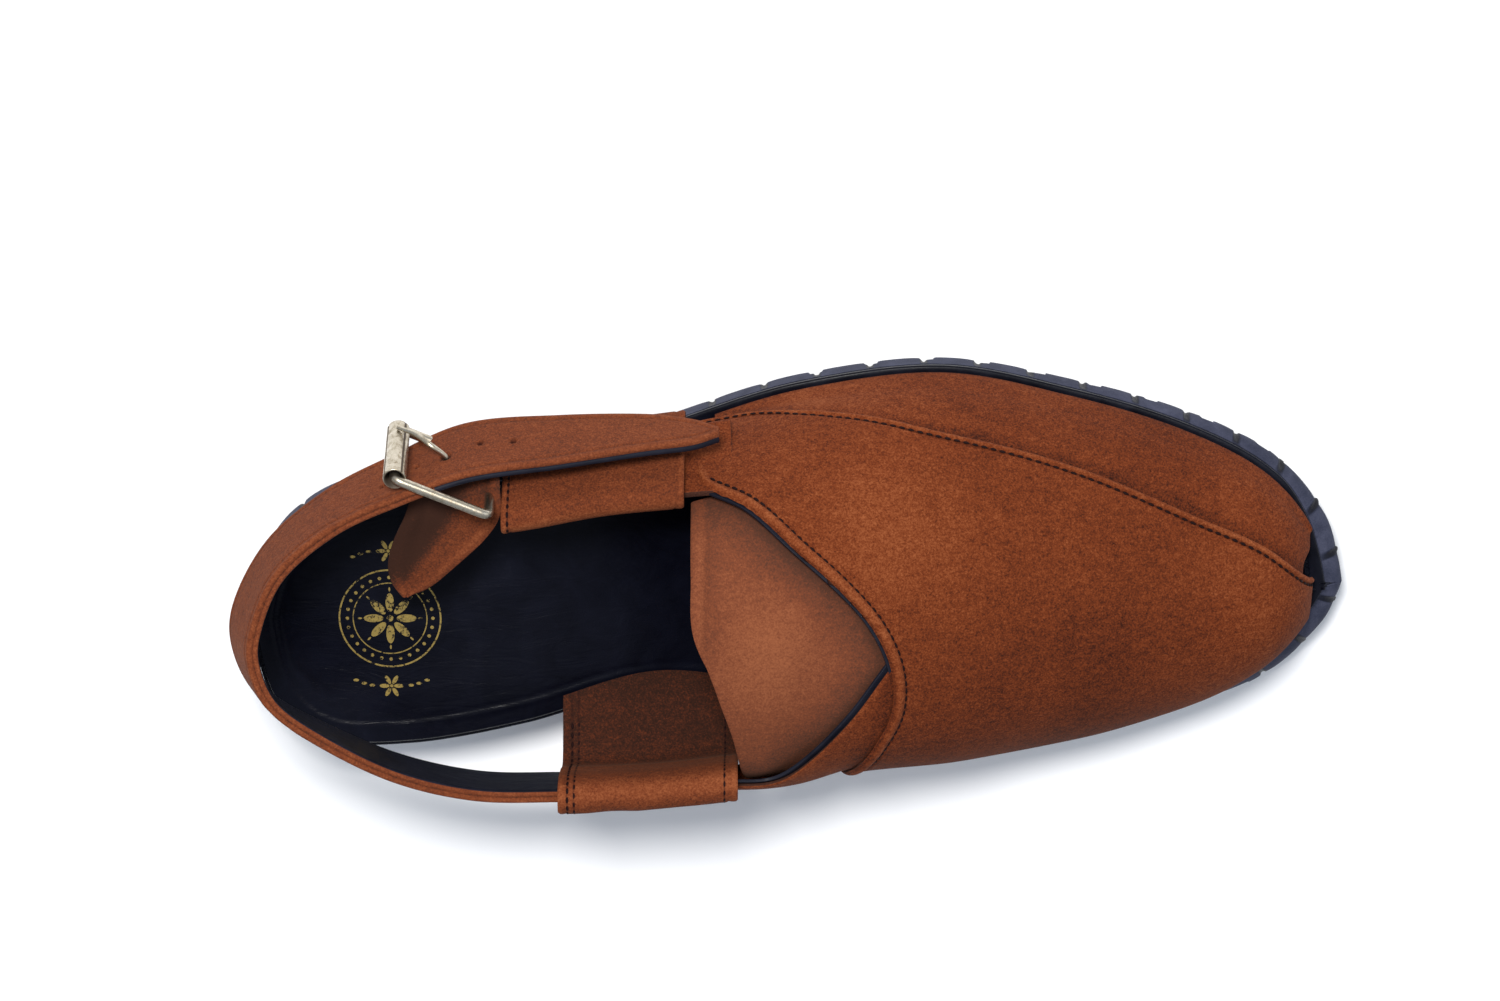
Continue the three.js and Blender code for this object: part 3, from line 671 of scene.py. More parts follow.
def rowOn(surface, route, height=0):
    # points and outward normals along a route of shares over a surface
    points, normals = [], []
    for u, v in route:
        point = surface(u, v)
        du = surface(min(1, u + .004), v) - surface(max(0, u - .004), v)
        dv = surface(u, min(1, v + .004)) - surface(u, max(0, v - .004))
        normal = du.cross(dv).normalized()
        points.append(point + normal * height)
        normals.append(normal)
    return points, normals


def steps(count, low=0, high=1):
    return [low + (high - low) * k / count for k in range(count + 1)]


# Sole: lateral and medial walls, stations from heel to toe, one closed ring of points round each station
perimeter = [0]
for k in range(edgeSteps):
    perimeter.append(perimeter[-1] + (edgePoints[(k + 1) % edgeSteps] - edgePoints[k]).length)
lugs = {"count": 47, "start": 254.8, "notch": .055, "deep": .46, "crown": .30, "nub": .4}


def arcAt(turn):
    spot = turn % 360 / 360 * edgeSteps
    k = int(spot)
    return mix(perimeter[k], perimeter[k + 1], spot - k)


def lugPhase(turn):
    # 0 in a notch and towards .5 on the crest of a lug
    share = (arcAt(turn) - lugs["start"]) / perimeter[-1] * lugs["count"] % 1
    return min(share, 1 - share)


def lugRelief(turn):
    phase = lugPhase(turn)
    notch = 1 - smooth(phase, lugs["notch"] * .55, lugs["notch"])
    return lugs["deep"] * notch + lugs["crown"] * (1 - 2 * phase) ** 4


def evenStations(count, low, high):
    # angles spaced evenly along the edge
    spots = steps(2000, low, high)
    run = [0]
    for a, b in zip(spots, spots[1:]):
        sides = [(soleEdge(turnOf(side, b)) - soleEdge(turnOf(side, a))).length for side in (1, -1)]
        run.append(run[-1] + sum(sides) / 2)
    made, k = [], 0
    for i in range(count + 1):
        goal = run[-1] * i / count
        while k < len(run) - 2 and run[k + 1] < goal:
            k += 1
        made.append(mix(spots[k], spots[k + 1], (goal - run[k]) / (run[k + 1] - run[k])))
    return made


def ringPiece(profile, stations, ring, paint):
    # profile(share round the ring, angle) gives a point; the first and last columns are one
    bm = bmesh.new()
    count = len(stations) - 1
    bmesh.ops.create_grid(bm, x_segments=count, y_segments=ring, size=.5)
    tone, seam = marks(bm)
    for vert in bm.verts:
        angle = stations[round((vert.co.x + .5) * count)]
        share = vert.co.y + .5
        vert.co, vert[tone] = profile(share, angle), 0
        vert[tone] = paint(share, angle, vert.co)
    bmesh.ops.remove_doubles(bm, verts=bm.verts, dist=1e-4)
    bmesh.ops.holes_fill(bm, edges=[edge for edge in bm.edges if edge.is_boundary], sides=0)
    bmesh.ops.recalc_face_normals(bm, faces=bm.faces)
    return bm


def ringShare(share, wall, flat):
    # where a share round the ring lies: bottom, lateral wall, top, medial wall, bottom
    half = flat / 2
    parts = (half, wall, flat, wall, half)
    names = ("bottomOut", "lateral", "top", "medial", "bottomIn")
    spot = share * sum(parts)
    for name, part in zip(names, parts):
        if spot <= part + 1e-9:
            return name, min(1, spot / part)
        spot -= part
    return names[-1], 1


def ringProfile(levelsAt, floorAt, topAt, wall, flat):
    # levelsAt(side, angle) lists (inset, height) up the wall; floorAt and topAt finish the flats
    def profile(share, angle):
        part, t = ringShare(share, wall, flat)
        ends = {side: levelsAt(side, angle) for side in (1, -1)}

        def rim(side, level):
            edge = soleInset(turnOf(side, angle), level[0])
            return Vector((edge.x, edge.y, level[1](edge.x)))
        if part in ("lateral", "medial"):
            side = 1 if part == "lateral" else -1
            levels = ends[side]
            spot = (t if side > 0 else 1 - t) * (len(levels) - 1)
            k = min(int(spot), len(levels) - 2)
            return rim(side, levels[k]).lerp(rim(side, levels[k + 1]), spot - k)
        if part == "top":
            point = rim(1, ends[1][-1]).lerp(rim(-1, ends[-1][-1]), t)
            point.z = topAt(point)
            return point
        low = rim(1, ends[1][0]), rim(-1, ends[-1][0])
        point = low[0].lerp(low[1], .5 * (1 - t) if part == "bottomOut" else 1 - .5 * t)
        point.z = floorAt(point)
        return point
    return profile


treadBars = {"from": .49, "to": .95, "count": 9, "width": .3, "heelFrom": .05, "heelTo": .19, "heelCount": 2}
# inset and rise up the walls; no rise lies on the tread
outsoleWall = ((7, None), (3, None), (1, None), (.35, .15), (.05, .6), (0, 1.3), (0, 2.4), (.12, 3.6),
               (.30, 4.6), (.52, 5.5), (.75, 6.3), (.90, 6.8), (1, 7.2))


def groove(x, low, high, count):
    # 1 in a groove of the tread, with drafted sides
    share = (x / sole["length"] - low) / (high - low) * count
    if not 0 < share < count:
        return 0
    half = sole["lugPitch"] * treadBars["width"] / 2
    off = abs(share % 1 - .5) * (high - low) * sole["length"] / count
    return 1 - smooth(off, half - .6, half)


def treadFloor(x):
    bars = groove(x, treadBars["from"], treadBars["to"], treadBars["count"])
    return soleBottom(x) + sole["tread"] * bars


def outsoleLevels(side, angle):
    turn = turnOf(side, angle)
    relief = lugRelief(turn)
    slope = flare(side, angle)

    def at(rise):
        return lambda x: max(treadFloor(x), soleBottom(x) + rise)
    levels = []
    for inset, rise in outsoleWall:
        if rise is None:
            levels.append((inset + relief * (inset < 2), treadFloor))
            continue
        fade = 1 - smooth(rise, 3.8, 6.6)
        away = inset if rise < 1 else inset * slope
        # round the toe the ends of the tread bars stand out a little in the notches
        nub = smooth(angle, 146, 156) * (1 - smooth(lugPhase(turn), .03, .06)) * (1 - smooth(rise, 1.6, 3))
        levels.append((away + relief * fade * (1 - nub) - lugs["nub"] * nub, at(rise)))
    return levels


def solePaint(share, angle, point):
    # lighter on the crests and the upper slope, painted shade black in the notches, darker at the top of the
    # wall
    part, t = ringShare(share, 13, 14)
    if part not in ("lateral", "medial"):
        return -.25
    turn = turnOf(1 if part == "lateral" else -1, angle)
    up = t if part == "lateral" else 1 - t
    notch = 1 - smooth(lugPhase(turn), lugs["notch"] * .8, lugs["notch"] * 1.5)
    return .42 * (1 - notch) - .75 * notch * (1 - smooth(up, .72, .95)) - .3 * smooth(up, .93, 1)


def makeSole():
    stations = evenStations(760, .35, 179.65)
    profile = ringProfile(outsoleLevels, lambda p: treadFloor(p.x),
                          lambda p: soleBottom(p.x) + sole["outsole"], 13, 14)
    finished(ringPiece(profile, stations, 54, solePaint), "sole_rubber", "rubber", ["outsole"], "rubber")

    breast = angleAt(sole["length"] * .2)
    top = sole["heelLift"] - sole["gap"]

    def heelFloor(point):
        bars = treadBars
        return sole["tread"] * groove(point.x, bars["heelFrom"], bars["heelTo"], bars["heelCount"])

    def heelLevels(side, angle):
        relief = lugRelief(turnOf(side, angle))
        rows = ((7, 0), (3, 0), (1, 0), (.35, .12), (.08, .5), (0, 1.2), (-.05, 3), (.1, 6), (.2, 8.5),
                (0, 10.5), (-.35, 12.5), (-.65, 14.6), (-.8, top))
        return [(inset + relief * (1 - smooth(rise, 9, 14)) * (inset < 2), lambda x, rise=rise: rise)
                for inset, rise in rows]
    profile = ringProfile(heelLevels, heelFloor, lambda p: top, 13, 14)
    bm = ringPiece(profile, evenStations(240, .35, breast), 54, solePaint)
    finished(bm, "heel_block", "rubber", ["heel"], "rubber")

    # the black layer whose edge shows all round the panels, with a rounded lip
    def layerLevels(side, angle):
        away = flare(side, angle)
        low, thick = sole["outsole"] + sole["gap"], sole["midsole"]
        rows = ((.6, 0), (.12, .1), (0, .4), (0, 1.2), (.1, 1.5), (.5, thick), (1.2, thick))
        return [(away + inset, lambda x, rise=rise: soleBottom(x) + low + rise) for inset, rise in rows]

    def layerHeight(rise):
        return lambda p: soleBottom(p.x) + sole["outsole"] + sole["gap"] + rise
    profile = ringProfile(layerLevels, layerHeight(0), layerHeight(sole["midsole"]), 6, 8)
    bm = ringPiece(profile, evenStations(300, .5, 179.5), 28, lambda *_: 0)
    finished(bm, "midsole_edge", "black_leather", ["midsole"], "welt")
    print("sole made")


insoleLook = {"rim": 4.9, "rimHigh": .22, "dish": .7, "round": .7, "toeRoom": 2.5}


def insoleInset(side, angle):
    covered = smooth(angle, 68, 76) if side > 0 else smooth(angle, 84, 91)
    room = last["panel"] + 2 * sole["gap"] + insoleLook["toeRoom"] * smooth(angle, 140, 170)
    return featherMargin(side, angle) + covered * room


def makeInsole():
    stations = evenStations(300, .8, 179.2)
    rimPoints = []
    for side in (1, -1):
        for angle in stations:
            edge = soleInset(turnOf(side, angle), insoleInset(side, angle))
            rimPoints.append(Vector((edge.x, edge.y, 0)))
    away = near(rimPoints)

    def face(u, v):
        angle = stations[round(u * 300)]
        spread = .5 - .5 * math.cos(math.pi * v)
        lateral = soleInset(angle, insoleInset(1, angle))
        medial = soleInset(360 - angle, insoleInset(-1, angle))
        spot = lateral.lerp(medial, spread)
        edge = away(Vector((*spot, 0)))
        lip = insoleLook["round"] * (1 - min(1, edge / insoleLook["round"])) ** 2
        sewn = bump(edge, insoleLook["rim"], 1.1) - .8 * bump(edge, insoleLook["rim"] + 1.3, 1)
        rim = insoleLook["rimHigh"] * sewn
        dish = insoleLook["dish"] * smooth(edge, 6, 26)
        return Vector((*spot, insoleTop(spot.x) - lip * .8 + rim - dish))
    bm = grid(lambda u, v: face(u, 1 - v), 300, 90)
    surface = BVHTree.FromBMesh(bm)
    piece = finished(bm, "insole_sock", "black_leather", ["insole"], "glazed", "welt")
    walled(piece, 1.4, 0)
    print("insole made")
    return surface


# Upper panels
panelLook = {"seam": 2.0, "rollWide": 3.2, "rollHigh": .6}


def rollProfile(edge, wide, high):
    # folded edge: quarter round at the rim, a soft crown and a groove where it is sewn down
    drop = -.75 * (1 - min(1, edge / .9)) ** 2
    crown = high * (bump(edge, wide * .48, wide * .56))
    dip = -.34 * bump(edge, wide, .75)
    return drop + crown + dip


def overFace(u, v):
    angle = last["toeAngle"] + (column(throatRows, "share", "angle", v) - last["toeAngle"]) * u
    edge = edgeShare(angle)
    return lastPoint(angle, edge + (1 - edge) * v)


def underFace(u, v):
    rear, overlap = 81, .1
    front = mix(last["toeAngle"], 161.5, smooth(v, .46, .74))
    angle = front + (rear - front) * u
    return lastPoint(angle, (edgeShare(angle) + overlap) * v)


def bandOnLast(u, v):
    first, final = bandRows["angle"][0], bandRows["angle"][-1]
    angle = final + (first - final) * u
    top, low = (column(bandRows, "angle", name, angle) for name in ("top", "bottom"))
    return lastPoint(angle, top + (low - top) * v)


def makeUpper():
    fine = steps(500)
    seamEdge = [overFace(u, 0) for u in fine]
    throatEdge = [overFace(1, v) for v in fine[60:]]
    toSeam, toThroat = near(seamEdge), near(throatEdge)

    def shares(u, v):
        return 1 - (1 - u) ** 1.35, v ** 1.25

    def face(u, v):
        return overFace(*shares(u, v))

    def creases(point):
        # creases: the pull from the ear, the fold over the ball and the sag behind the toe
        pull = bump(point.x - .35 * point.y, 112, 16) * smooth(point.y, 26, 44)
        ball = bump(point.x + .22 * point.y, 196, 20) * smooth(point.z, 24, 40)
        toe = bump(point.x - .30 * point.y, 247, 17)
        return -.5 * pull - .45 * ball - .3 * toe

    def lift(u, v, point):
        seam, throat = toSeam(point), toThroat(point)
        edge = -.45 * (1 - min(1, seam / .7)) ** 2 - .42 * bump(seam, panelLook["seam"], .75)
        edge += .30 * bump(seam, panelLook["seam"] * .45, .9)
        return edge + rollProfile(throat, panelLook["rollWide"], panelLook["rollHigh"]) + creases(point)

    def paint(u, v, point):
        seam, throat = toSeam(point), toThroat(point)
        row = .75 * bump(seam, panelLook["seam"], .6) + .7 * bump(throat, panelLook["rollWide"], .55)
        # painted light and shade: lighter on the rolled edge and by the seam edge, painted shade right at the
        # throat edge and towards the medial side, painted light on the lateral side; a darker patch mid
        # forefoot and a lighter one near the toe
        tone = .24 * bump(throat, 1.8, 2.0) + .22 * bump(seam, .8, 1.2) - .35 * bump(throat, 0, .7)
        tone -= .20 * smooth(-point.y, 0, 42) + .13 * bump(point.x, 214, 34) * bump(point.y, -6, 34)
        tone += .14 * bump(point.y, 36, 24) * bump(point.x, 150, 50) + .06 * bump(point.x, 262, 22)
        tone += .16 * bump(point.x, 176, 34) * bump(point.y, 30, 30)
        return tone, row
    bm = grid(face, 220, 190, lift, paint)
    walled(finished(bm, "panel_over", "suede", ["upper"], "panel", "cut"), 1.15, .3)

    # its lining shows as a dark line under the rolled edge
    def liningFace(u, v):
        share = .155 + .62 * v
        edge, back = overFace(1, share), overFace(.9, share)
        proud = mix(.85, .1, smooth(share, .35, .6))
        return edge + (edge - back).normalized() * (proud - 8 * (1 - u))
    bm = grid(liningFace, 40, 160, lambda u, v, p: -1.25)
    walled(finished(bm, "throat_lining", "suede", ["upper"], "lining", "lining"), .8, .2)

    # under panel, sewn a little below the upper one
    feather = near([underFace(u, 0) for u in fine])
    toeEnd = near([underFace(0, v) for v in fine])

    def underLift(u, v, point):
        span = (edgeShare(120) + .1) * v
        rim = -.6 * (1 - min(1, feather(point) / 1.2)) ** 2 - .45 * (1 - min(1, toeEnd(point) / .8)) ** 2
        return -underDrop * smooth(span, 0, .08) + rim

    def underPaint(u, v, point):
        seam = toSeam(point)
        # painted shade along the seam under the over panel and along the feather line; darker towards the
        # toe, lighter at mid length
        tone = -.30 * (1 - smooth(seam, 0, 5)) - .10 * bump(point.x, 242, 40) + .10 * bump(point.x, 150, 26)
        return tone - .14 * (1 - smooth(feather(point), 0, 2.4)), .5 * bump(toeEnd(point), 2, .5) * (v > .4)
    bm = grid(underFace, 240, 60, underLift, underPaint)
    walled(finished(bm, "panel_under", "suede", ["upper"], "under", "cut"), 1.6, .3)

    # its band on the inner side, with a dark lining edge along the throat
    topEdge = near([bandOnLast(u, 0) for u in fine])

    def bandPaint(u, v, point):
        edge = toThroat(point)
        # painted shade near the throat edge and darker towards the bottom, a painted highlight along the top
        # edge
        return -.22 * (1 - smooth(edge, 0, 7)) - .1 * v + .1 * bump(topEdge(point), 1, 1.4), 0

    def bandLift(u, v, point):
        return -underDrop - .35 * (1 - min(1, topEdge(point) / .8)) ** 2
    bm = grid(bandOnLast, 90, 60, bandLift, bandPaint)
    walled(finished(bm, "panel_band", "suede", ["upper"], "under", "cut"), 1.1, .25)

    def bandLining(u, v):
        top, low = bandOnLast(u, 0), bandOnLast(u, .2)
        return top + (top - low).normalized() * (.75 - 7 * v)
    bm = grid(bandLining, 90, 30, lambda u, v, p: -underDrop - 1.2)
    walled(finished(bm, "band_lining", "suede", ["upper"], "lining", "lining"), .8, .2)

    # ear that passes back through the outer loop
    bm = grid(lambda u, v: earFace(u, 1 - v), 80, 24)
    walled(finished(bm, "panel_ear", "suede", ["upper"], "panel", "cut"), last["panel"], .3)
    print("upper made")

    # sewing along both edges of the over panel
    def inset(pathEdge, distance, middle):
        # the row of sewing: the edge moved over the face by a distance
        shifted = []
        for k, point in enumerate(pathEdge):
            way = (pathEdge[min(k + 2, len(pathEdge) - 1)] - pathEdge[max(k - 2, 0)]).normalized()
            normal = (middle[k] - point)
            normal = (normal - way * normal.dot(way)).normalized()
            shifted.append(point + normal * distance)
        return shifted
    inward = [overFace(u, .03) for u in fine]
    row = inset(seamEdge, panelLook["seam"], inward)
    up = [(overFace(max(u - .004, 0), .012) - overFace(min(u + .004, 1), .012)).cross(b - a).normalized()
          for u, a, b in zip(fine, seamEdge, inward)]
    up = [n if n.z > 0 else -n for n in up]
    stitchRow("stitch_over", [p - n * .12 for p, n in zip(row, up)], up)
    vs = fine[85:]
    edge = [overFace(1, v) for v in vs]
    inward = [overFace(.965, v) for v in vs]
    row = inset(edge, panelLook["rollWide"], inward)
    up = [(b - a).cross(overFace(1, min(v + .004, 1)) - overFace(1, v - .004)).normalized()
          for v, a, b in zip(vs, edge, inward)]
    out = [n if n.dot(Vector((0, .25, 1))) > 0 else -n for n in up]
    stitchRow("stitch_throat", [p - n * .22 for p, n in zip(row, out)], out, pitch=2.2)


tongueLook = {"share": (.19, .79), "reach": 14, "drop": underDrop + last["panel"] + .9}


def tongueFace(u, v):
    low, high = tongueLook["share"]
    share = low + (high - low) * v
    rear = column(tongueRows, "share", "angle", v)
    front = column(throatRows, "share", "angle", share) + tongueLook["reach"]
    return lastPoint(front + (rear - front) * u, share)


def makeTongue():
    rear = near([tongueFace(1, v) for v in steps(300)])
    throat = near([overFace(1, v) for v in steps(300, .12, .8)] + [bandOnLast(u, 0) for u in steps(200)])

    def lift(u, v, point):
        edge = rear(point)
        fold = .8 * bump(point.x - .02 * point.y, 118.5, 3.2) * smooth(point.y, 4, 14)
        fold *= 1 - smooth(point.y, 38, 44)
        sag = -.9 * bump(point.x + .4 * point.y, 138, 14) - .5 * bump(point.x - .3 * point.y, 150, 9)
        return -tongueLook["drop"] - .4 * (1 - min(1, edge / .8)) ** 2 + fold + sag

    def paint(u, v, point):
        away = throat(point)
        # painted shadow from the throat edge and darker towards the medial side; lighter in the middle, a
        # painted highlight and shade on the fold, darker at the rear edge
        shade = -.48 * (1 - smooth(away, 3, 13)) - .55 * (1 - smooth(away, 3.2, 5.6))
        shade -= .12 * smooth(-point.y, 4, 24)
        light = .42 * bump(point.x, 136, 17) * bump(point.y, 8, 24)
        light += .22 * bump(point.x, 118.8, 1.8) * smooth(point.y, 4, 14)
        light -= .15 * bump(point.x, 121.5, 4) * smooth(point.y, 4, 14)
        return shade + light - .12 * bump(rear(point), 0, 1), 0
    bm = grid(tongueFace, 110, 150, lift, paint)
    walled(finished(bm, "tongue_suede", "suede", ["tongue"], "tongue", "cut"), last["tongue"] * .9, .25)
    print("tongue made")


# Strap, loops, tab
def normalOf(face, u, v):
    du = face(min(1, u + .004), v) - face(max(0, u - .004), v)
    dv = face(u, min(1, v + .01)) - face(u, max(0, v - .01))
    return du.cross(dv).normalized()


# marks are the holes and pricks: share along, share across and reach
strapLook = {"marks": ((.734, .43, 1.6), (.760, .53, 1), (.782, .49, 1), (.7095, .47, .8), (.68, .345, .8)),
             "crease": 2.3, "faceColumns": 46, "stations": 720, "liningAndShadowFrom": .722}


def strapSection():
    # v across the band, depth below its outer face and what shows there, once round
    thick, wide = strap["thick"], strap["width"]
    rows = []
    count = strapLook["faceColumns"]
    for k in range(count + 1):
        v = mix(.022, .978, k / count)
        rows.append((v, 0, "face"))
    for inset, depth in ((.18, .16), (0, .62), (.10, 1.1), (.32, 1.35), (.10, 1.6), (0, 2.2), (.16, 2.9)):
        rows.append((1 - inset / wide, depth, "edge"))
    rows += [(mix(.97, .03, k / 14), thick, "lining") for k in range(15)]
    for inset, depth in ((.16, 2.9), (0, 2.3), (.12, 1.85), (.42, 1.6), (.12, 1.35), (0, .8), (.16, .2)):
        rows.append((inset / wide, depth, "edge"))
    rows.append(rows[0])
    return rows


def makeStrap():
    rows = strapSection()
    stations = [t + .018 * math.sin(2 * math.pi * t) / (2 * math.pi) for t in steps(strapLook["stations"])]
    thick, wide = strap["thick"], strap["width"]
    bm = bmesh.new()
    bmesh.ops.create_grid(bm, x_segments=len(stations) - 1, y_segments=len(rows) - 1, size=.5)
    tone, seam = marks(bm)
    normals = {}
    middles = [(strapFace(u, v), reach) for u, v, reach in strapLook["marks"]]
    kinds, freeEnd = {}, {}
    for vert in bm.verts:
        k = round((vert.co.x + .5) * (len(stations) - 1))
        j = round((vert.co.y + .5) * (len(rows) - 1))
        kinds[vert] = j
        u, (v, depth, kind) = stations[k], rows[j]
        if k not in normals:
            normals[k] = normalOf(strapFace, u, .5)
        point = strapFace(u, v)
        fade = min(1, along(strapRows, "wide", u))
        toEdge = min(v, 1 - v) * wide * fade
        shade = mark = 0
        if kind == "face":
            depth += .28 * bump(toEdge, strapLook["crease"], .7) + .35 * (1 - min(1, toEdge / .9)) ** 2
            # soft pulls where the band bends round the heel and under the roller
            depth += .35 * bump(u, .715, .012) + .3 * bump(u, .64, .02) + .25 * bump(u, .36, .03)
            shade += .12 * bump(toEdge, .6, 1.2) - .12 * bump(toEdge, strapLook["crease"], .8)
            # holes and pricks are dents; their mark gives them the thread colour as painted shade
            for middle, reach in middles:
                away = (point - middle).length
                if away < reach * 2:
                    depth += 1.5 * (1 - smooth(away, reach * .5, reach))
                    depth -= .12 * bump(away, reach * 1.35, reach * .5)
                    mark = max(mark, 1 - smooth(away, reach * .75, reach * 1.1))
        if kind == "edge":
            shade += .12 - .5 * bump(depth, 1.6 if v < .5 else 1.35, .3)
        freeEnd[vert] = u > strapLook["liningAndShadowFrom"]
        vert.co = point - normals[k] * depth
        vert[tone], vert[seam] = shade, mark
    lined = [j for j, row in enumerate(rows) if row[2] == "lining"]
    for face in bm.faces:
        rowsHere = [kinds[vert] for vert in face.verts]
        # near the free end the lining's black spreads over the edge rows, for the lining and the painted
        # shadow beside the loop
        reach = 4 if all(freeEnd[vert] for vert in face.verts) else 1
        if min(rowsHere) >= lined[0] - reach and max(rowsHere) <= lined[-1] + reach:
            face.material_index = 1
    bmesh.ops.remove_doubles(bm, verts=bm.verts, dist=1e-4)
    bmesh.ops.holes_fill(bm, edges=[edge for edge in bm.edges if edge.is_boundary], sides=0)
    bmesh.ops.recalc_face_normals(bm, faces=bm.faces)
    finished(bm, "strap_heel", "suede", ["heel_strap"], "strap", "lining")
    print("strap made")


loopLook = {"slack": 1.3, "thick": 1.8, "length": 46, "innerFoot": 5, "outerFoot": 1.2}


def shareAt(face, x, low, high):
    heading = math.copysign(1, face(high, .5).x - face(low, .5).x)
    for _ in range(30):
        middle = (low + high) / 2
        if (face(middle, .5).x - x) * heading < 0:
            low = middle
        else:
            high = middle
    return (low + high) / 2


def loopPath(side, face, thickness, low, high, x):
    room = thickness / 2 + loopLook["slack"] + loopLook["thick"]
    share = shareAt(face, x, low, high)
    top, bottom = face(share, 0), face(share, 1)
    up = top - bottom
    up.x = 0
    out = Vector((0, up.z, -up.y)).normalized() * side

    def foot(inset, rise):
        edge = soleInset(turnOf(side, angleAt(x)), featherMargin(side, angleAt(x)) + inset)
        return Vector((x, edge.y, insoleTop(x) + rise))
    points = [foot(loopLook["innerFoot"], loopLook["thick"] + sole["gap"])]
    for rise, over, away in zip(loopRows["up"], loopRows["over"], loopRows["out"]):
        point = Vector((x, bottom.y, bottom.z)) + up * (rise + over * room / up.length)
        points.append(point + out * (away * room - thickness / 2))
    points.append(foot(loopLook["outerFoot"], 3 * sole["gap"]))
    return points


def makeLoop(name, node, side, start, carried, sewn):
    face, thickness, low, high = carried
    paths = {}

    def surface(u, v):
        v = 1 - v if side > 0 else v
        x = round(start + loopLook["length"] * v, 3)
        if x not in paths:
            paths[x] = loopPath(side, face, thickness, low, high, x)
        return curveAt(paths[x], u)

    def lift(u, v, point):
        edge = min(v, 1 - v) * loopLook["length"]
        wave = .5 * bump(v, .62, .2) * bump(u, .78, .2) + .35 * bump(v, .3, .16) * bump(u, .62, .16)
        return -.4 * (1 - min(1, edge / .8)) ** 2 - .2 * bump(edge, 2.2, .8) - wave

    def paint(u, v, point):
        edge = min(v, 1 - v) * loopLook["length"]
        inside = 1 - smooth(u, .36, .48)
        # painted light on the top fold and painted shade on the inner face, darkest at its foot; lighter
        # along the edges and darker at the outer foot
        tone = .16 * bump(edge, .7, 1.2) - .05 * inside - .6 * inside * (1 - smooth(u, .06, .22))
        place = (1 - v if side > 0 else v) * loopLook["length"]
        row = max((bump(place, offset, .6) for offset, _ in sewn), default=0)
        return tone - .15 * smooth(u, .82, .97) + .30 * bump(u, .44, .14), .8 * row
    bm = grid(surface, 130, 80, lift, paint)
    walled(finished(bm, name, "suede", [node], "loop", "cut"), loopLook["thick"], .25)
    for k, (offset, ends) in enumerate(sewn):
        share = offset / loopLook["length"]
        share = 1 - share if side > 0 else share
        points, normals = rowOn(surface, [(mix(*ends, t), share) for t in steps(260)], -.1)
        stitchRow(f"stitch_{name}_{k + 1}", points, normals)


def makeLoops():
    makeLoop("loop_inner_side", "loop_medial", -1, sole["length"] * .285, (strapFace, strap["thick"], 0, .2),
             ((2.5, (.04, .97)), (4.2, (.04, .97)), (42.6, (.04, .97))))
    makeLoop("loop_outer_side", "loop_lateral", 1, sole["length"] * .238, (earFace, last["panel"], 0, 1),
             ((1.6, (.3, .97)),))
    print("loops made")


def makeTab():
    def surface(u, v):
        ends = [Vector((along(tabRows, side + "Along", u) * sole["length"],
                        along(tabRows, side + "Across", u) * sole["ball"],
                        along(tabRows, side + "Up", u) * strap["rise"])) for side in ("rear", "front")]
        spot = ends[0].lerp(ends[1], v)
        spot.z -= 3 * 4 * v * (1 - v) * (1 - u)
        return spot

    def lift(u, v, point):
        edge = min(v, 1 - v) * mix(19, 4, u)
        return -.35 * (1 - min(1, edge / .7)) ** 2 + .3 * bump(edge, 1.3, 1.1) - .22 * bump(edge, 2.9, .8)

    def paint(u, v, point):
        # painted shadow of the strap and buckle over the upper rear part of the leaf, painted shade along its
        # top, a painted highlight on the curled edge and painted shade in the crease near it
        castShadow = (1 - smooth(v, .40 - .28 * u, .74 - .28 * u)) * (1 - smooth(u, .66, .92))
        edge = min(v, 1 - v) * mix(19, 4, u)
        tone = -1.1 * castShadow - .45 * (1 - smooth(u, .16, .36)) + .25 * bump(edge, 1.2, 1.1) - .1
        return tone, .35 * bump(edge, 2.9, .5)
    bm = grid(surface, 90, 60, lift, paint)
    walled(finished(bm, "buckle_leaf", "suede", ["buckle_tab"], "strap", "cut"), 1.7, .25)
    print("tab made")


# Buckle
buckleLook = {"wire": 1.25, "reach": 25.2, "corner": 2.2, "roller": 2.9, "wall": .5, "lip": .2,
              "prong": .75, "eye": .7, "near": 12.9, "far": 11.6}
barAxis = Vector((.03, -.28, .96)).normalized()
rollerCentre = Vector((sole["length"] * .147, sole["ball"] * .541, strap["rise"] * .88))
hingeCentre = rollerCentre + Vector((.92, -.39, -.06)).normalized() * buckleLook["reach"]


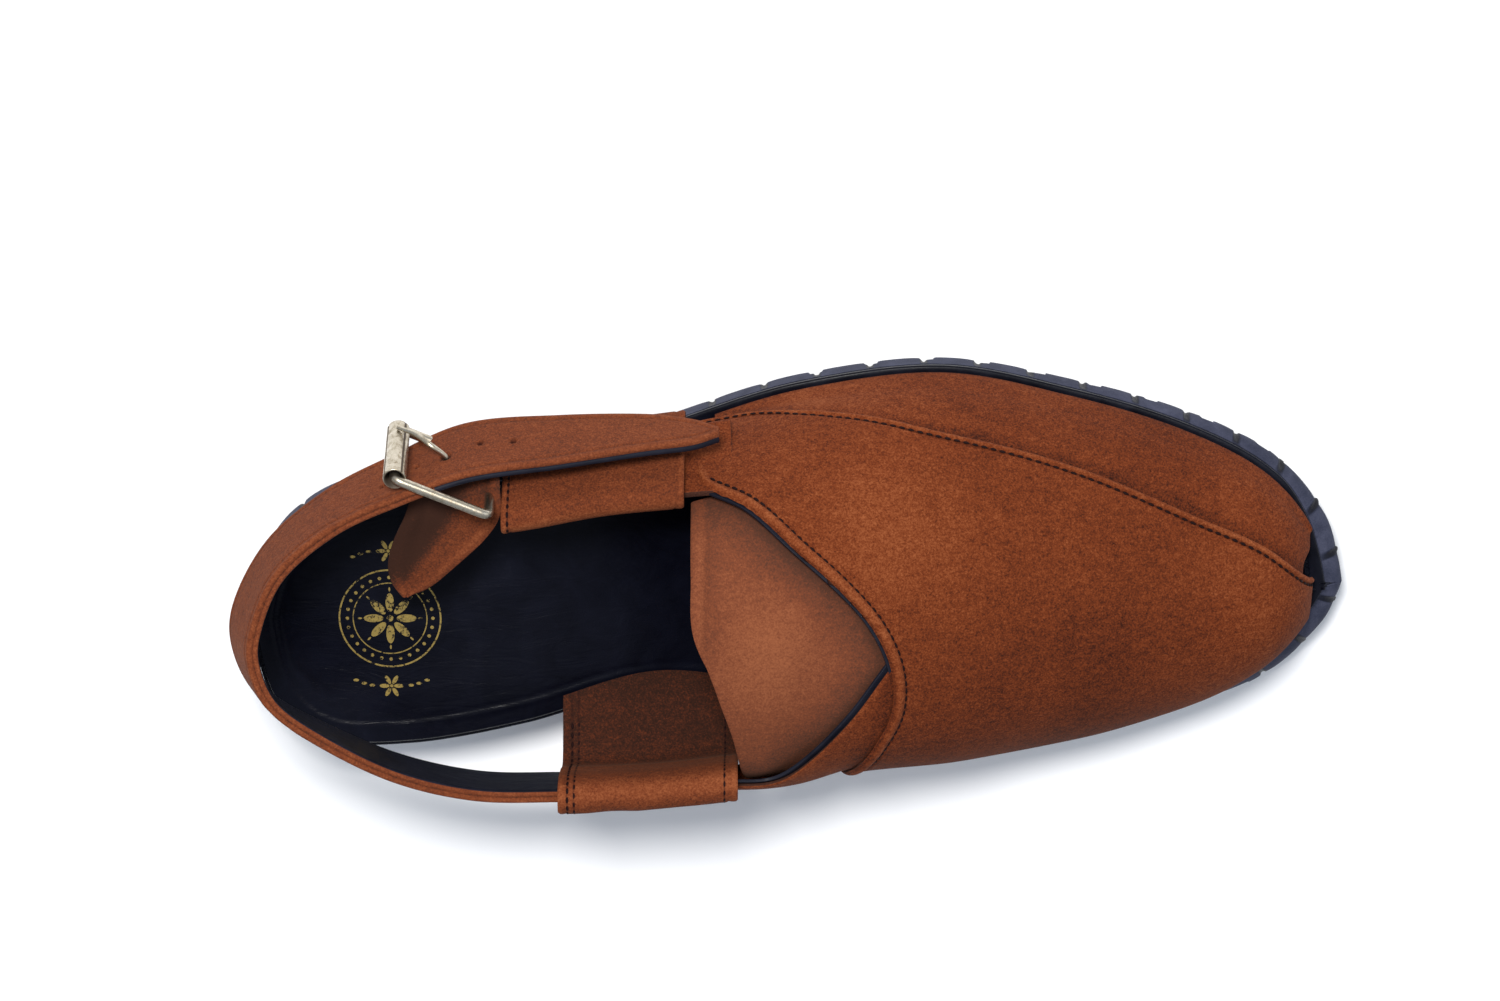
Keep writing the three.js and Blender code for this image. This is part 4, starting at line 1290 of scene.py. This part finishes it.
def tubeAlong(points, radiusAt, sides, closed=False):
    # a wire along a row of points; radiusAt(share) gives its radius
    count = len(points)
    normals = []
    way = points[1] - points[0]
    normal = way.orthogonal().normalized()
    for k in range(count):
        after = points[(k + 1) % count] if closed or k + 1 < count else points[k]
        before = points[k - 1] if closed or k else points[0]
        way = (after - before).normalized()
        normal = (normal - way * normal.dot(way)).normalized()
        normals.append((normal.copy(), way.cross(normal).normalized()))
    bm = bmesh.new()
    rows = count if closed else count - 1
    bmesh.ops.create_grid(bm, x_segments=rows, y_segments=sides, size=.5)
    tone, seam = marks(bm)
    for vert in bm.verts:
        share = vert.co.x + .5
        k = round(share * rows) % count
        turn = 2 * math.pi * (vert.co.y + .5)
        first, second = normals[k]
        radius = radiusAt(share)
        vert.co = points[k] + (first * math.cos(turn) + second * math.sin(turn)) * radius
    bmesh.ops.remove_doubles(bm, verts=bm.verts, dist=2e-3)
    bmesh.ops.holes_fill(bm, edges=[edge for edge in bm.edges if edge.is_boundary], sides=0)
    bmesh.ops.recalc_face_normals(bm, faces=bm.faces)
    return bm


def makeBuckle():
    near, far = buckleLook["near"], buckleLook["far"]
    ends = [end + barAxis * along for end, along in
            ((rollerCentre, near), (hingeCentre, near), (hingeCentre, -far), (rollerCentre, -far))]
    path = []
    for k, corner in enumerate(ends):
        before = (ends[k - 1] - corner).normalized() * buckleLook["corner"]
        after = (ends[(k + 1) % 4] - corner).normalized() * buckleLook["corner"]
        for t in steps(9):
            a, b = corner + before, corner + after
            path.append(a.lerp(corner, t).lerp(corner.lerp(b, t), t))
        away = ends[(k + 1) % 4] - (ends[(k + 1) % 4] - corner).normalized() * buckleLook["corner"]
        path += [(corner + after).lerp(away, t) for t in steps(12)[1:-1]]
    bm = tubeAlong(path, lambda share: buckleLook["wire"], 20, True)
    finished(bm, "buckle_wire", "buckle_metal", ["buckle_frame"], "brass")

    # rolled sheet: its seam runs the whole length
    low, high = -far + .5, near - .2
    outer, bore = buckleLook["roller"], buckleLook["roller"] - buckleLook["wall"]
    lip = buckleLook["lip"]
    profile = [(bore, low), (outer - lip, low), (outer - .06, low + .06)]
    profile += [(outer, mix(low + lip, high - lip, t)) for t in steps(24)]
    profile += [(outer - .06, high - .06), (outer - lip, high), (bore, high - .05), (bore, (low + high) / 2)]
    profile.append(profile[0])
    side = barAxis.orthogonal().normalized()
    other = barAxis.cross(side)
    # seams are placed by how far they turn from straight up
    up = Vector((0, 0, 1))
    top = math.atan2(up.dot(other), up.dot(side))
    seams = [top + turn - 1.4 for turn in (.55, 2.35)]
    bm = bmesh.new()
    bmesh.ops.create_grid(bm, x_segments=len(profile) - 1, y_segments=96, size=.5)
    tone, seam = marks(bm)
    for vert in bm.verts:
        radius, height = profile[round((vert.co.x + .5) * (len(profile) - 1))]
        turn = 2 * math.pi * (vert.co.y + .5)
        spot = (side * math.cos(turn) + other * math.sin(turn))
        off = min(abs(math.remainder(turn - facing, 2 * math.pi)) for facing in seams)
        if radius > outer - lip:
            radius -= .25 * bump(off * outer, 0, .35)
            vert[tone] = -1.6 * bump(off * outer, 0, .5)
        elif radius < outer - lip - .01:
            # inside the bore the colour is painted shade
            vert[tone] = -2.5
        vert.co = rollerCentre + spot * radius + barAxis * height
    bmesh.ops.remove_doubles(bm, verts=bm.verts, dist=1e-3)
    bmesh.ops.recalc_face_normals(bm, faces=bm.faces)
    finished(bm, "buckle_roller_tube", "buckle_metal", ["buckle_roller"], "brass")

    hole, out = strapFace(.734, .43), normalOf(strapFace, .734, .43)
    rest = rollerCentre + out * (outer + buckleLook["prong"]) - barAxis * 6.4
    knots = [hingeCentre.lerp(hole, .28), hole - out * (strap["thick"] + .8) + Vector((.8, 0, 0)), hole,
             hole + out * 3.6 - Vector((2.8, 0, 0)), hole + out * 4.6 - barAxis * 3.6 - Vector((6.2, 0, 0)),
             rest + Vector((.9, 0, 0))]
    bm = tubeAlong([curveAt(knots, t) for t in steps(90)],
                   lambda share: buckleLook["prong"] * (1 - .3 * smooth(share, .75, 1)), 16)
    # its eye round the hinge bar
    reach = buckleLook["wire"] + .75
    towards = (hole - hingeCentre)
    towards = (towards - barAxis * towards.dot(barAxis)).normalized()
    across = barAxis.cross(towards)
    ring = [hingeCentre + (towards * math.cos(t) + across * math.sin(t)) * reach
            for t in (2 * math.pi * k / 40 for k in range(40))]
    eye = tubeAlong(ring, lambda share: buckleLook["eye"], 12, True)
    spare = bpy.data.meshes.new("prong_eye")
    eye.to_mesh(spare)
    eye.free()
    bm.from_mesh(spare)
    bpy.data.meshes.remove(spare)
    finished(bm, "buckle_pin", "buckle_metal", ["buckle_prong"], "brass")
    print("buckle made")


# A made up rosette between two thin rings, with a small flower each side
ornamentLook = {"centre": (37.1, 5), "high": .05, "ring": 11.2, "petals": 8, "dots": 28, "flower": 18.5}


def makeOrnament(insole):
    bm = bmesh.new()

    def blot(x, y, length, width, turn=0, count=20):
        matrix = (Matrix.Translation((*ornamentLook["centre"], 60)) @ Matrix.Translation((x, y, 0))
                  @ Matrix.Rotation(turn, 4, "Z") @ Matrix.Diagonal((length / 2, width / 2, 1, 1)))
        bmesh.ops.create_circle(bm, cap_ends=True, cap_tris=True, segments=count, radius=1, matrix=matrix)

    def flower(x, y, petals, reach, size):
        for k in range(petals):
            turn = 2 * math.pi * k / petals
            blot(x + reach * math.cos(turn), y + reach * math.sin(turn), size, size * .42, turn)
        blot(x, y, size * .34, size * .34)
    flower(0, 0, ornamentLook["petals"], 4.3, 5.2)
    flower(0, 0, ornamentLook["petals"], 7.9, 1.2)
    for k in range(ornamentLook["dots"]):
        turn = 2 * math.pi * k / ornamentLook["dots"]
        blot(ornamentLook["ring"] * math.cos(turn), ornamentLook["ring"] * math.sin(turn), .95, .95, 0, 10)
    for side in (1, -1):
        flower(0, side * ornamentLook["flower"], 6, 1.9, 2.6)
        for across in (-1, 1):
            for k in (1, 2, 3):
                blot(across * (3 + k * 2.1), side * (ornamentLook["flower"] - .175 * k * k), 1.5, .8, 0, 10)
    for radius, wide in ((9.5, .3), (13, .45)):
        matrix = Matrix.Translation((*ornamentLook["centre"], 60))
        made = bmesh.ops.create_circle(bm, cap_ends=False, segments=96, radius=radius, matrix=matrix)
        edges = list({edge for vert in made["verts"] for edge in vert.link_edges})
        grown = bmesh.ops.extrude_edge_only(bm, edges=edges)["geom"]
        middle = Vector((*ornamentLook["centre"], 60))
        for vert in (item for item in grown if isinstance(item, bmesh.types.BMVert)):
            vert.co = middle + (vert.co - middle) * (1 + wide / radius)
    bmesh.ops.recalc_face_normals(bm, faces=bm.faces)
    for face in bm.faces:
        if face.normal.z < 0:
            face.normal_flip()
    for vert in bm.verts:
        place = insole.ray_cast(vert.co, Vector((0, 0, -1)))[0]
        vert.co.z = place.z + ornamentLook["high"]
    finished(bm, "insole_rosette", "buckle_metal", (), "foil")
    print("ornament made")


# Camera, floor and light, placed in metres round the middle of the shoe
studio = {
    "lens": 92.83, "camera": (-.011472, .29954, .99126), "tilt": -16, "floor": 3,
    "lights": {"key": ((-.15, .60, 1.18), .34, 18.5, (1, .985, .965)),
               "fill": ((.95, .15, .8), .9, 2.2, (.93, .96, 1))},     # place, size, watts, colour
    "sky": (.80, .88, 1, 1), "skyStrength": .50}


def makeStudio():
    data = bpy.data.cameras.new("camera")
    data.lens, data.sensor_width = studio["lens"], 36
    data.clip_start, data.clip_end = .05, 20
    camera = bpy.data.objects.new("camera", data)
    camera.location = studio["camera"]
    camera.rotation_euler = (math.radians(studio["tilt"]), 0, 0)
    bpy.context.scene.collection.objects.link(camera)
    bpy.context.scene.camera = camera

    f = Finish("studio_floor")
    paper = f.noise(60, 2, .4)
    colour = f.ramp(paper, (.3, (.945, .945, .95)), (.7, (.96, .96, .96)))
    paperFinish = f.done(Base_Color=colour, Roughness=.8, Normal=f.height(paper, .02), Specular_IOR_Level=.2)
    bm = bmesh.new()
    bmesh.ops.create_grid(bm, x_segments=8, y_segments=8, size=studio["floor"])
    mesh = bpy.data.meshes.new("studio_floor")
    bm.to_mesh(mesh)
    bm.free()
    mesh.materials.append(paperFinish)
    floor = bpy.data.objects.new("studio_floor", mesh)
    bpy.context.scene.collection.objects.link(floor)

    for name, (place, size, power, colour) in studio["lights"].items():
        lamp = bpy.data.lights.new(name, "AREA")
        lamp.shape, lamp.size, lamp.energy, lamp.color = "DISK", size, power, colour
        light = bpy.data.objects.new(name, lamp)
        light.location = place
        light.rotation_euler = (-Vector(place)).to_track_quat("-Z", "Y").to_euler()
        bpy.context.scene.collection.objects.link(light)
    world = bpy.data.worlds.new("studio")
    world.use_nodes = True
    background = world.node_tree.nodes["Background"]
    background.inputs["Color"].default_value = studio["sky"]
    background.inputs["Strength"].default_value = studio["skyStrength"]
    bpy.context.scene.world = world
    bpy.context.scene.view_settings.view_transform = "Standard"
    print("studio made")


makeStudio()
makeSole()
makeOrnament(makeInsole())
makeUpper()
makeTongue()
makeStrap()
makeLoops()
makeTab()
makeBuckle()
